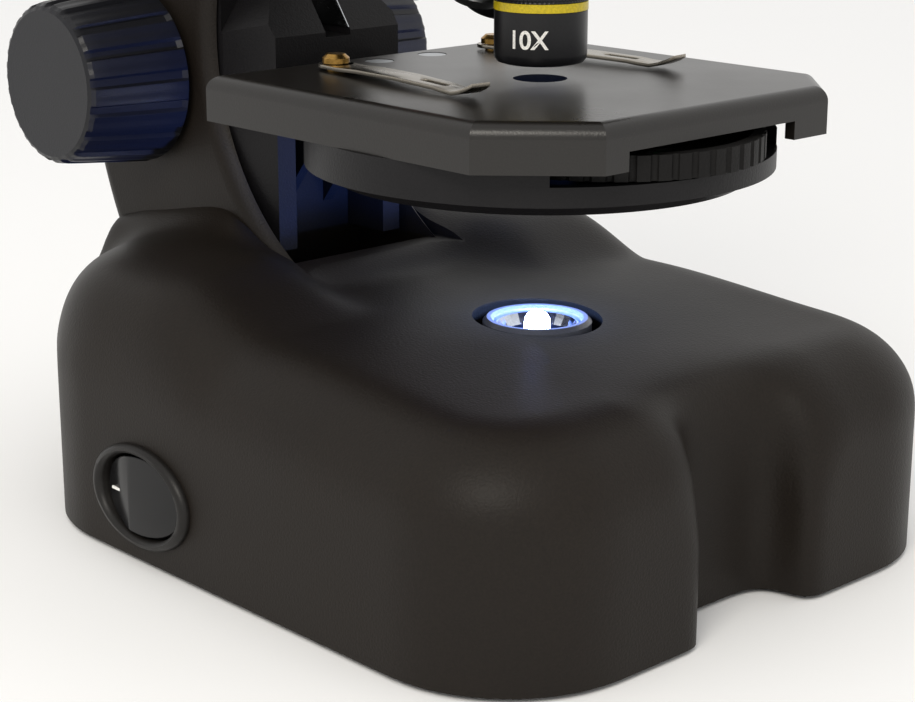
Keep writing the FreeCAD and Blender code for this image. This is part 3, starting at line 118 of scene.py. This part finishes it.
def clear():
    """Leave edit mode and let nothing stay selected."""
    if bpy.context.object and bpy.context.object.mode != "OBJECT":
        bpy.ops.object.mode_set(mode="OBJECT")
    bpy.ops.object.select_all(action="DESELECT")


def hold(piece):
    """Make one piece the selected and active one."""
    clear()
    piece.select_set(True)
    bpy.context.view_layer.objects.active = piece
    return piece


def block(name, low, high):
    """A box between two corners given in millimetres."""
    clear()
    middle = [(a + b) / 2 * MM for a, b in zip(low, high)]
    size = [(b - a) * MM for a, b in zip(low, high)]
    bpy.ops.mesh.primitive_cube_add(size=1, location=middle, scale=size)
    bpy.ops.object.transform_apply(location=True, rotation=True, scale=True)
    bpy.context.object.name = name
    return bpy.context.object


def dowel(name, radius, low, high, centre=(0, 0), sides=96):
    """An upright cylinder in millimetres."""
    clear()
    bpy.ops.mesh.primitive_cylinder_add(vertices=sides, radius=radius * MM, depth=(high - low) * MM,
                                        location=(centre[0] * MM, centre[1] * MM, (low + high) / 2 * MM))
    bpy.ops.object.transform_apply(location=True, rotation=True, scale=True)
    bpy.context.object.name = name
    return bpy.context.object


def pick(piece, kind, wanted):
    """Open a piece in edit mode with just the vertices, edges or faces selected that are wanted."""
    hold(piece)
    bpy.ops.object.mode_set(mode="EDIT")
    bpy.ops.mesh.select_mode(type=kind)
    bpy.ops.mesh.select_all(action="DESELECT")
    shape = bmesh.from_edit_mesh(piece.data)
    for part in {"VERT": shape.verts, "EDGE": shape.edges, "FACE": shape.faces}[kind]:
        spots = [part.co / MM] if kind == "VERT" else [v.co / MM for v in part.verts]
        if wanted(spots):
            part.select_set(True)
    bmesh.update_edit_mesh(piece.data)


def everywhere(spots):
    return True


def carve(piece, tool, operation="DIFFERENCE"):
    """Cut a tool out of a piece, join it on, or keep what they share; the tool is used up."""
    hold(piece)
    step = piece.modifiers.new("carve", "BOOLEAN")
    step.object = tool
    step.operation = operation
    step.solver = "EXACT"
    bpy.ops.object.modifier_apply(modifier=step.name)
    bpy.data.objects.remove(tool, do_unlink=True)
    return piece


def reskin(piece, size):
    """One closed skin of even small squares over everything in the piece."""
    hold(piece)
    step = piece.modifiers.new("skin", "REMESH")
    step.mode = "VOXEL"
    step.voxel_size = size * MM
    bpy.ops.object.modifier_apply(modifier=step.name)


def soften(piece, turns, wanted=None, factor=0.5):
    """Relax the surface, everywhere or only where wanted gives a weight above nought."""
    hold(piece)
    step = piece.modifiers.new("soften", "SMOOTH")
    step.factor = factor
    step.iterations = turns
    if wanted:
        patch = piece.vertex_groups.new(name="patch")
        for vertex in piece.data.vertices:
            patch.add([vertex.index], wanted(*(vertex.co / MM)), "REPLACE")
        step.vertex_group = patch.name
    bpy.ops.object.modifier_apply(modifier=step.name)
    if wanted:
        piece.vertex_groups.clear()


def ease(value, low, high):
    """0 below low, 1 above high, and a smooth rise between."""
    part = min(max((value - low) / (high - low), 0.0), 1.0)
    return part * part * (3 - 2 * part)


def done(piece, material, body, stands_for=(), angle=35):
    """Shade a finished piece, give it its material and let it ride on its body."""
    hold(piece)
    bpy.ops.object.shade_smooth_by_angle(angle=math.radians(angle))
    piece.data.materials.clear()
    piece.data.materials.append(material)
    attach(piece, body)
    if stands_for:
        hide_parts(*stands_for)
    clear()
    return piece


def upright_edge(spots, x, y, slack=0.6):
    a, b = spots
    stands = abs(a.x - b.x) < slack and abs(a.y - b.y) < slack
    return stands and abs(abs(a.x) - x) < slack and abs(a.y - y) < slack


def round_block(name, inset, low, high, top_round):
    """The base's plan pulled in by an inset, drawn up from low to high, with a rounded top edge."""
    half = BASE_HALF - inset
    piece = block(name, (-half, BASE_FRONT + inset, low), (half, BASE_BACK - inset, high))
    for side in (-1, 1):
        pick(piece, "FACE", everywhere)
        flank_x = FLANK_X - inset * math.cos(FLANK)
        flank_y = FLANK_Y - inset * math.sin(FLANK)
        on_flank = (flank_x * side * MM, flank_y * MM, 0)
        bpy.ops.mesh.bisect(plane_co=on_flank, plane_no=(side * math.cos(FLANK), math.sin(FLANK), 0),
                            use_fill=True, clear_outer=True)
    hold(piece)
    corners = sorted({(round(abs(v.co.x / MM), 2), round(v.co.y / MM, 2)) for v in piece.data.vertices},
                     key=lambda spot: spot[1])
    reaches = (28.0 - inset, 8.6, corners[2][0] - 0.4)
    for (x, y), reach in zip(corners, reaches):
        pick(piece, "EDGE", lambda spots: upright_edge(spots, x, y))
        bpy.ops.mesh.bevel(offset=reach * MM, segments=14, profile=0.5, affect="EDGES", clamp_overlap=False)
    pick(piece, "EDGE", lambda spots: all(s.z > high - 0.1 for s in spots))
    bpy.ops.mesh.bevel(offset=top_round * MM, segments=12, profile=0.5, affect="EDGES", clamp_overlap=False)
    clear()
    return piece


base = round_block("base_shell", 0.0, -8.0, BASE_TOP, TOP_ROUND)
bay = block("bay", (-14.7, -95, -20), (14.7, -46.5, 80))
pick(bay, "EDGE", lambda spots: upright_edge(spots, 14.7, -46.5))
bpy.ops.mesh.bevel(offset=5.5 * MM, segments=8, profile=0.5, affect="EDGES")
carve(base, bay)
seat = block("seat", (-34, 40, 30), (34, 117, 52.2))
pick(seat, "VERT", lambda spots: spots[0].z > 50)
bpy.ops.transform.resize(value=(0.72, 0.88, 1), center_override=(0, 84 * MM, 0.05))
collar = block("collar", (-24.5, 47, 40), (24.5, 108, 54))
pick(collar, "VERT", lambda spots: spots[0].z > 52)
bpy.ops.transform.resize(value=(0.92, 0.84, 1), center_override=(0, 88 * MM, 0.05))
clear()
for part in (seat, collar, base):
    part.select_set(True)
bpy.context.view_layer.objects.active = base
bpy.ops.object.join()
reskin(base, 1.35)
for vertex in base.data.vertices:
    x, y, z = vertex.co / MM
    beside_arm = ease(abs(x) + max(y - 60, 0), 20, 30)
    rise = BACK_RISE * ease(y, 20, 46) * beside_arm * (1 - 0.68 * ease(y, 66, 108))
    rise -= FRONT_DIP * ease(-y, -15, 40)
    vertex.co.z += rise * ease(z, 16, 46) * MM
soften(base, 10)
soften(base, 70, lambda x, y, z: ease(y, 22, 42) * ease(z, 34, 42))
soften(base, 28, lambda x, y, z: ease(24 - abs(x), 0, 8) * ease(-y, 36, 44))
soften(base, 110, lambda x, y, z: ease(26 - abs(x), 0, 10) * ease(-y, 18, 34) * ease(z, 18, 36))
carve(base, block("arm_room", (-22, 30, 52), (22, 140, 90)))
carve(base, block("leg_room", (-19.5, 53, 30), (19.5, 76.5, 70)))
carve(base, block("below", (-90, -90, -30), (90, 150, 1)))
hollow = round_block("hollow", 2.8, -9.0, 44.5, 14.0)
carve(hollow, block("lobes", (-90, -90, -20), (90, -43.5, 90)))
reskin(hollow, 3.0)
carve(base, hollow)
carve(base, dowel("lamp_room", 12.9, 30, 60))
clear()
bpy.ops.mesh.primitive_cylinder_add(vertices=64, radius=1, depth=1, location=(-62 * MM, 43 * MM, 14.6 * MM),
                                    rotation=(0, math.radians(90), 0), scale=(9.8 * MM, 13.85 * MM, 30 * MM))
bpy.ops.object.transform_apply(location=True, rotation=True, scale=True)
carve(base, bpy.context.object)

charcoal = plastic("charcoal_abs_spark_eroded", "#171310", "#1f1a15", 0.47, 0.5, 0.35, specular=0.16)
done(base, charcoal, "base", ["base_housing"], angle=38)

# ------------------------------------------------------------------ base underside
# A flat black plate with a battery door closes the base, held by four steel screws, and the whole
# stands on four rubber feet. The battery tray, cells and contacts sit above the door.
def dress(material, *names):
    """Give CAD pieces whose shape is already right their material."""
    for name in names:
        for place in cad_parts[name].material_slots:
            place.material = material


def metal(name, dark, light, rough, brush_mm, depth=0.05):
    """Worked metal: bright, with fine lines across it and slightly uneven polish."""
    material = bpy.data.materials.new(name)
    material.use_nodes = True
    tree = material.node_tree
    shader = tree.nodes["Principled BSDF"]
    shader.inputs["Metallic"].default_value = 1.0
    where = add(tree, "ShaderNodeTexCoord").outputs["Object"]
    stretch = add(tree, "ShaderNodeMapping", {"Scale": (1.0, 0.12, 1.0)}, {"Vector": where})
    lines = add(tree, "ShaderNodeTexNoise", {"Scale": 1 / (brush_mm * MM), "Detail": 3.0},
                {"Vector": stretch.outputs[0]})
    tone = add(tree, "ShaderNodeMix", {"data_type": "RGBA"}, {"Factor": lines.outputs["Fac"]})
    tone.inputs[6].default_value = linear(dark)
    tone.inputs[7].default_value = linear(light)
    tree.links.new(tone.outputs[2], shader.inputs["Base Color"])
    polish = add(tree, "ShaderNodeMapRange", {"To Min": rough - 0.06, "To Max": rough + 0.10},
                 {"Value": lines.outputs["Fac"]})
    tree.links.new(polish.outputs[0], shader.inputs["Roughness"])
    relief = add(tree, "ShaderNodeBump", {"Strength": depth, "Distance": 0.0001},
                 {"Height": lines.outputs["Fac"]})
    tree.links.new(relief.outputs[0], shader.inputs["Normal"])
    return material


# Black polypropylene plate, coarser and duller than the housing; bright zinc screws; soft rubber feet.
dull_black = plastic("black_polypropylene_moulded", "#0d0c0c", "#151413", 0.55, 0.6, 0.4, specular=0.14)
zinc = metal("zinc_plated_steel_bright", "#8f9398", "#c8ccd0", 0.32, 0.4)
tread = plastic("black_rubber_moulded", "#0b0b0b", "#141414", 0.82, 0.4, 0.5, specular=0.2)
wrap = plastic("shrink_wrapped_cell_grey", "#6d7074", "#8b8e92", 0.34, 2.0, 0.05)
dress(dull_black, "base_bottom_plate", "battery_door", "battery_tray")
dress(zinc, "base_screws", "battery_door_screw", "battery_contacts")
dress(tread, "rubber_feet")
dress(wrap, "battery_cells")

# ------------------------------------------------------------------ arm
# The C-shaped arm is two mirrored ABS shells screwed together down the middle of its spine. It is
# open in front, between its cheeks, where the carriage slides on two steel rods.
dress(charcoal, "arm_left", "arm_right")
ground_rod = metal("ground_steel_rod", "#9a9da1", "#d5d8da", 0.22, 0.3)
brass = metal("turned_brass", "#8d6a33", "#c59c55", 0.28, 0.3)
dress(zinc, "arm_screws")
dress(ground_rod, "guide_rods", "focus_shaft")
dress(dull_black, "rod_brackets")
dress(brass, "shaft_bushes", "focus_pinion")

# ------------------------------------------------------------------ focus knobs
# Two hard black knobs pressed on the focus shaft. Each is turned as one tapered drum, then eighteen
# shallow channels are pushed in along it for grip; they run out just short of the plain outer face.
def turn(name, profile, sides=96):
    """A round piece about the Z axis, grown ring by ring from (radius, height) points in millimetres."""
    clear()
    radius, height = profile[0]
    bpy.ops.mesh.primitive_circle_add(vertices=sides, radius=radius * MM, fill_type="NGON",
                                      location=(0, 0, height * MM))
    bpy.ops.object.transform_apply(location=True, rotation=True, scale=True)
    piece = bpy.context.object
    piece.name = name
    bpy.ops.object.mode_set(mode="EDIT")
    bpy.ops.mesh.select_all(action="SELECT")
    for wide, high in profile[1:]:
        bpy.ops.mesh.extrude_region_move(TRANSFORM_OT_translate={"value": (0, 0, (high - height) * MM)})
        grow = wide / radius
        bpy.ops.transform.resize(value=(grow, grow, 1), center_override=(0, 0, high * MM))
        radius, height = wide, high
    bpy.ops.mesh.select_all(action="SELECT")
    bpy.ops.mesh.normals_make_consistent(inside=False)
    bpy.ops.object.mode_set(mode="OBJECT")
    return piece


def put(piece, matrix):
    """Turn and move a piece into place, and fix that place in its mesh."""
    hold(piece)
    piece.matrix_world = matrix
    bpy.ops.object.transform_apply(location=True, rotation=True, scale=True)
    return piece


def shift(x, y, z):
    return Matrix.Translation(Vector((x, y, z)) * MM)


KNOB_OUT = 23.4
FOCUS_Y = 99.7
FOCUS_Z = 87.2
# Hard black ABS, smoother than the housing; the faint blue cast of its colours is painted sheen of the lamp's
# blue light.
knob_black_painted_blue = plastic("black_abs_grip_painted_blue_sheen", "#101014", "#17181d", 0.36, 0.35, 0.2, specular=0.28)
for side, body_turn in ((-1, -90), (1, 90)):
    knob = turn("knob_left" if side < 0 else "knob_right", [
        (17.6, 0), (18.9, 0.5), (19.1, 1.6), (18.6, 7), (18.0, 13), (17.4, 19), (17.15, 21.2), (16.9, 22.4),
        (16.3, 23.2), (15.4, 23.6), (9.0, 23.5)], 216)
    for low, high, deep in ((1.2, 21.6, 0.955), (22.0, 22.8, 0.965), (22.9, 23.4, 0.985)):
        pick(knob, "VERT", lambda spots: low < spots[0].z < high
             and (math.degrees(math.atan2(spots[0].y, spots[0].x)) + 0.4) % 20 > 12.2)
        bpy.ops.transform.resize(value=(deep, deep, 1), center_override=(0, 0, 0))
    pick(knob, "VERT", lambda spots: 1.2 < spots[0].z < 23.4
         and 4 < (math.degrees(math.atan2(spots[0].y, spots[0].x)) + 0.4) % 20 < 9)
    bpy.ops.transform.resize(value=(0.992, 0.992, 1), center_override=(0, 0, 0))
    put(knob, shift(side * KNOB_OUT, FOCUS_Y, FOCUS_Z) @ Matrix.Rotation(math.radians(body_turn), 4, "Y"))
    done(knob, knob_black_painted_blue, "focus", ["focus_knob_left" if side < 0 else "focus_knob_right"], angle=24)

# ------------------------------------------------------------------ carriage, bracket and rack
# The carriage is a black glass-filled block that rides the two rods; a grey acetal rack is screwed
# to its back and a bracket under the stage is screwed to its front. A thin steel strip lines its slot.
slider_black = plastic("black_glass_filled_nylon", "#0f0e0f", "#171618", 0.42, 0.5, 0.3, specular=0.18)
acetal = plastic("grey_acetal_cut", "#9c9fa3", "#b4b7ba", 0.35, 0.4, 0.1)
dress(slider_black, "stage_carriage", "stage_bracket")
dress(acetal, "focus_rack")
dress(zinc, "stage_screws")
liner = block("slot_liner", (3.0, 60.3, 98.6), (3.4, 70.9, 111.4))
pick(liner, "VERT", lambda spots: spots[0].z > 105 and spots[0].y < 65)
bpy.ops.transform.translate(value=(0, 9.2 * MM, 0))
pick(liner, "EDGE", everywhere)
bpy.ops.mesh.bevel(offset=0.08 * MM, segments=2, affect="EDGES")
done(liner, ground_rod, "stage")

# ------------------------------------------------------------------ stage
# A satin black moulded plate with a skirt all round and its front corners cut off, screwed on the
# bracket.
stage_black = plastic("black_abs_satin_stage", "#110f0d", "#1a1714", 0.28, 0.35, 0.12, specular=0.4)
dress(stage_black, "stage_plate")

# ------------------------------------------------------------------ filter housing and wheel
# A shallow round pan under the stage. A ribbed wheel with six holes, three of them with coloured
# filters, turns in it and shows at the front for the finger.
dress(slider_black, "filter_housing")
dress(dull_black, "filter_wheel")
dress(zinc, "wheel_pivot_screw")


def gel(name, colour, deeper):
    """Dyed clear acrylic, a little hazy."""
    material = plastic(name, colour, deeper, 0.15, 1.5, 0.05)
    shader = material.node_tree.nodes["Principled BSDF"]
    shader.inputs["Transmission Weight"].default_value = 0.7
    return material


dress(gel("red_acrylic_filter", "#b3261e", "#a01d17"), "filter_red")
dress(gel("green_acrylic_filter", "#1f8a44", "#187538"), "filter_green")
dress(gel("blue_acrylic_filter", "#2450b0", "#1c4299"), "filter_blue")

# ------------------------------------------------------------------ stage clips
# Two bright spring-steel fingers on brass posts. Each is a tapered strip with a round eye, a dip
# near its end that presses on the slide, and a turned-up tip to lift it by.
spring_steel = metal("spring_steel_polished", "#8d877c", "#a8a195", 0.26, 1.5, 0.02)
dress(brass, "clip_post_left", "clip_post_right")
for side, node_name in ((-1, "stage_clip_left"), (1, "stage_clip_right")):
    clip = block("clip_left" if side < 0 else "clip_right", (-3.4, -47, 0), (3.4, 0, 0.7))
    for line in (-5, -12, -24, -36, -39, -41.5, -43.5, -45.5):
        pick(clip, "FACE", everywhere)
        bpy.ops.mesh.bisect(plane_co=(0, line * MM, 0), plane_no=(0, 1, 0))
    for reach, lift, narrow in ((-12, 0.35, 0.98), (-24, 0.5, 0.9), (-36, 0.25, 0.82), (-39, 0.0, 0.8),
                                (-41.5, -0.1, 0.78), (-43.5, 0.35, 0.76), (-45.5, 1.1, 0.7), (-47, 1.9, 0.6)):
        pick(clip, "VERT", lambda spots: abs(spots[0].y - reach) < 0.1)
        bpy.ops.transform.translate(value=(0, 0, lift * MM))
        bpy.ops.transform.resize(value=(narrow, 1, 1), center_override=(0, 0, 0))
    clear()
    carve(clip, dowel("eye", 3.5, 0, 0.7, sides=48), "UNION")
    carve(clip, dowel("post_hole", 1.4, -1, 2, sides=48))
    slit = block("slit", (-0.9, -37, -1), (0.9, -29, 3))
    pick(slit, "EDGE", lambda spots: abs(spots[0].z - spots[1].z) > 1)
    bpy.ops.mesh.bevel(offset=0.85 * MM, segments=6, affect="EDGES")
    carve(clip, slit)
    hold(clip)
    rim = clip.modifiers.new("rim", "BEVEL")
    rim.width = 0.12 * MM
    rim.segments = 2
    bpy.ops.object.modifier_apply(modifier=rim.name)
    put(clip, shift(side * 21.5, 35, 95.25) @ Matrix.Rotation(math.radians(side * 6.5), 4, "Z"))
    done(clip, spring_steel, "clip_left" if side < 0 else "clip_right", [node_name], angle=30)

# ------------------------------------------------------------------ lamp
# A blue-white diode stands in the middle of a bright faceted reflector, inside a light grey collar
# that sits in a round black well in the top of the base.
dress(dull_black, "lamp_cup")
dress(plastic("green_lacquered_board", "#12402a", "#1a5236", 0.4, 1.2, 0.1), "lamp_board")
collar_grey = plastic("light_grey_polycarbonate", "#4c4f58", "#5d606a", 0.30, 0.4, 0.08, specular=0.5)
dress(collar_grey, "lamp_collar")
# Bright metallised plastic; the blue tint of its colours is painted reflection of the diode's blue light.
mirror_painted_blue = metal("metallised_plastic_painted_blue_reflection", "#b9c3d6", "#e6ecf6", 0.10, 0.5, 0.02)
reflector = turn("reflector", [
    (8.3, 42.0), (8.35, 46.4), (7.8, 46.5), (6.6, 44.4), (4.9, 42.9), (2.8, 42.35)], 24)
done(reflector, mirror_painted_blue, "base", ["lamp_reflector"], angle=5)
glow = bpy.data.materials.new("blue_white_led_lens")
glow.use_nodes = True
glow_tree = glow.node_tree
glow_shader = glow_tree.nodes["Principled BSDF"]
rim_fade = add(glow_tree, "ShaderNodeLayerWeight", {"Blend": 0.35})
halo = add(glow_tree, "ShaderNodeMix", {"data_type": "RGBA"}, {"Factor": rim_fade.outputs["Facing"]})
halo.inputs[6].default_value = linear("#ffffff")
halo.inputs[7].default_value = linear("#4f7dff")
glow_tree.links.new(halo.outputs[2], glow_shader.inputs["Emission Color"])
glow_shader.inputs["Emission Strength"].default_value = 60.0
glow_shader.inputs["Base Color"].default_value = linear("#dfe8ff")
lens = turn("lamp_lens", [(2.6, 40.5), (2.6, 46.2), (2.45, 47.3), (1.9, 48.2), (1.0, 48.7), (0.2, 48.85)], 48)
done(lens, glow, "base", ["lamp_emitter"], angle=40)
lamp_light = bpy.data.lights.new("lamp_light", "SPOT")
lamp_light.color = (0.10, 0.25, 1.0)
lamp_light.energy = 1.0
lamp_light.spot_size = math.radians(174)
lamp_light.spot_blend = 0.12
lamp_light.shadow_soft_size = 0.0025
lamp = bpy.data.objects.new("lamp_light", lamp_light)
lamp.location = (0, 0, 0.0495)
lamp.rotation_euler = (math.pi, 0, 0)
lamp.visible_glossy = False
bpy.context.scene.collection.objects.link(lamp)
glow_light = bpy.data.lights.new("lamp_glow", "POINT")
glow_light.color = (0.16, 0.34, 1.0)
glow_light.energy = 0.09
glow_light.shadow_soft_size = 0.002
lamp_glow = bpy.data.objects.new("lamp_glow", glow_light)
lamp_glow.location = (0, 0, 0.0530)
lamp_glow.visible_glossy = False
bpy.context.scene.collection.objects.link(lamp_glow)

# ------------------------------------------------------------------ rocker switch
# A snap-in oval rocker switch on the left side: a raised rim, and a rocker with a ridge across it
# and a white stroke moulded in the half that is pressed when the lamp is on.
rim_black = plastic("black_nylon_switch_rim", "#141211", "#1c1a18", 0.38, 0.4, 0.15, specular=0.25)
rocker_black = plastic("black_nylon_rocker_polished", "#0c0c0d", "#131315", 0.20, 0.5, 0.05, specular=0.3)
side_wall = shift(-65.5, 43, 14.6) @ Matrix.Rotation(math.radians(-90), 4, "Y")
oval = Matrix.Diagonal((10.9 / 16.3, 1, 1, 1))
rim = turn("switch_rim", [(13.6, -8.0), (13.7, -0.2), (15.6, -0.2), (15.7, 0.4), (15.4, 1.1), (14.7, 1.7),
                          (13.9, 1.8), (13.2, 1.4), (12.8, 0.6), (12.8, -7.6)], 96)
put(rim, side_wall @ oval)
pick(rim, "FACE", lambda spots: all(s.x > -58.1 for s in spots) and len(spots) > 10)
bpy.ops.mesh.delete(type="FACE")
done(rim, rim_black, "base", ["switch_bezel"], angle=40)
rocker = turn("rocker", [(11.6, -6.0), (12.1, -5.6), (12.1, 4.0)], 96)
put(rocker, side_wall @ oval)
for point, normal in (((-66.6, 46.5), (-1, 0.17)), ((-66.6, 46.5), (-1, -0.11))):
    pick(rocker, "FACE", everywhere)
    bpy.ops.mesh.bisect(plane_co=(point[0] * MM, point[1] * MM, 0), plane_no=(normal[0], normal[1], 0),
                        use_fill=True, clear_outer=True)
clear()
hold(rocker)
edge_round = rocker.modifiers.new("edge_round", "BEVEL")
edge_round.width = 0.35 * MM
edge_round.segments = 3
bpy.ops.object.modifier_apply(modifier=edge_round.name)
done(rocker, rocker_black, "rocker", ["switch_rocker"], angle=40)
dress(dull_black, "switch_module")
white_ink = plastic("white_pad_printed_ink", "#e3e1dc", "#f0eeea", 0.45, 0.3, 0.05)
stroke = block("switch_stroke", (-65.98, 50.2, 13.9), (-65.6, 52.9, 14.5))
pick(stroke, "EDGE", everywhere)
bpy.ops.mesh.bevel(offset=0.06 * MM, segments=2, affect="EDGES")
clear()
done(stroke, white_ink, "rocker")

# ------------------------------------------------------------------ turret and objectives
# Three brass-bodied objectives in satin black lacquer screw up into a turret that leans forward.
# Each has a coloured ring for its power, a knurled grip above it and the figures in white.
APEX = shift(0, 0, 165)
TILT = math.radians(18)
lacquer = plastic("black_satin_lacquer_on_brass", "#0e0e10", "#151518", 0.30, 0.5, 0.06, specular=0.3)
dress(slider_black, "turret_body")
dress(zinc, "turret_hub_screw")
glass = bpy.data.materials.new("coated_optical_glass")
glass.use_nodes = True
glass_tree = glass.node_tree
glass_shader = glass_tree.nodes["Principled BSDF"]
glass_shader.inputs["Roughness"].default_value = 0.03
glass_shader.inputs["IOR"].default_value = 1.52
glass_shader.inputs["Transmission Weight"].default_value = 0.6
coating = add(glass_tree, "ShaderNodeMix", {"data_type": "RGBA"},
              {"Factor": add(glass_tree, "ShaderNodeLayerWeight", {"Blend": 0.4}).outputs["Facing"]})
coating.inputs[6].default_value = linear("#3a3f66")
coating.inputs[7].default_value = linear("#7a5a9a")
glass_tree.links.new(coating.outputs[2], glass_shader.inputs["Base Color"])
dress(glass, "objective_lenses")
for n, (power, length, colour, facing) in enumerate((
        ("10X", 15.2, ("#d9c21a", "#c9b010"), 208.9), ("40X", 16.4, ("#2f78c8", "#2668b0"), 250.0),
        ("4X", 9.0, ("#b8281f", "#a01f18"), 290.0))):
    tip = -52 - length
    seat_of = APEX @ Matrix.Rotation(TILT, 4, "X") @ Matrix.Rotation(math.radians(120 * n), 4, "Z") \
        @ Matrix.Rotation(-TILT, 4, "X")
    barrel = turn("objective_" + power, [
        (3.0, tip + 0.7), (3.9, tip + 0.25), (4.6, tip), (7.2, tip), (8.3, tip + 0.35), (8.8, tip + 1.1),
        (8.9, tip + 2.0), (8.9, -57.1), (8.55, -57.0), (8.5, -56.9), (8.5, -55.5), (8.55, -55.4),
        (8.9, -55.3), (8.9, -55.0), (8.75, -54.8), (8.75, -52.3), (8.4, -52.0), (6.9, -52.0),
        (6.9, -48.2)], 144)
    pick(barrel, "VERT", lambda spots: -55.1 < spots[0].z < -52.2
         and (math.degrees(math.atan2(spots[0].y, spots[0].x)) + 0.4) % 5 > 2.3)
    bpy.ops.transform.resize(value=(0.978, 0.978, 1), center_override=(0, 0, 0))
    clear()
    bpy.ops.object.text_add(location=(0, 0, 0))
    figures = bpy.context.object
    figures.data.body = power
    figures.data.size = 4.8 * MM
    figures.data.align_x = "CENTER"
    figures.data.align_y = "CENTER"
    figures.data.offset = 0.09 * MM
    bpy.ops.object.convert(target="MESH")
    figures.name = "figures_" + power
    facing_way = math.radians(facing)
    place = Matrix.Translation(Vector((8.95 * math.cos(facing_way), 8.95 * math.sin(facing_way),
                                       max(tip + 5.0, -62.2))) * MM)
    upright = Matrix.Rotation(math.pi / 2, 4, "X")
    put(figures, place @ Matrix.Rotation(facing_way + math.pi / 2, 4, "Z") @ upright)
    hold(figures)
    wrapper = figures.modifiers.new("wrap", "SHRINKWRAP")
    wrapper.target = barrel
    wrapper.wrap_method = "NEAREST_SURFACEPOINT"
    wrapper.offset = 0.05 * MM
    bpy.ops.object.modifier_apply(modifier=wrapper.name)
    put(figures, seat_of)
    done(figures, white_ink, "turret")
    put(barrel, seat_of)
    done(barrel, lacquer, "turret", ["objective_%s_barrel" % power.lower()], angle=28)
    dress(plastic("enamel_ring_" + power, *colour, 0.3, 0.5, 0.05), "objective_%s_ring" % power.lower())

# ------------------------------------------------------------------ head and eyepiece
# The charcoal head carries the turret's mount below and, above, a turning prism housing with an
# inclined eyepiece tube. A brass lock screw holds the turn; the eyepiece ends in a soft rubber cup.
dress(charcoal, "head_housing", "prism_housing", "eyepiece_tube")
dress(slider_black, "turret_mount")
dress(brass, "head_lock_screw")
dress(glass, "erecting_prism", "eyepiece_lenses")
dress(lacquer, "eyepiece_barrel")
dress(tread, "eye_cup")

# ------------------------------------------------------------------ floor and light
clear()
bpy.ops.mesh.primitive_plane_add(size=6, location=(0, 0, 0))
floor = bpy.context.object
floor.name = "floor"
pale = bpy.data.materials.new("pale_floor_paper")
pale.use_nodes = True
pale.node_tree.nodes["Principled BSDF"].inputs["Base Color"].default_value = linear("#fafafa")
pale.node_tree.nodes["Principled BSDF"].inputs["Roughness"].default_value = 0.9
floor.data.materials.append(pale)

world = bpy.data.worlds.new("studio")
bpy.context.scene.world = world
world.use_nodes = True
world.node_tree.nodes["Background"].inputs["Color"].default_value = (1.0, 0.99, 0.975, 1)
world.node_tree.nodes["Background"].inputs["Strength"].default_value = 0.92
soft_box = bpy.data.lights.new("soft_box", "AREA")
soft_box.size = 0.32
soft_box.energy = 3.2
soft_box.color = (1.0, 0.95, 0.86)
soft_box_stand = bpy.data.objects.new("soft_box", soft_box)
soft_box_stand.location = (-0.60, -0.36, 0.60)
towards = Vector((0, 0.02, 0.05)) - soft_box_stand.location
soft_box_stand.rotation_euler = towards.to_track_quat("-Z", "Y").to_euler()
bpy.context.scene.collection.objects.link(soft_box_stand)
bpy.context.scene.view_settings.view_transform = "Standard"
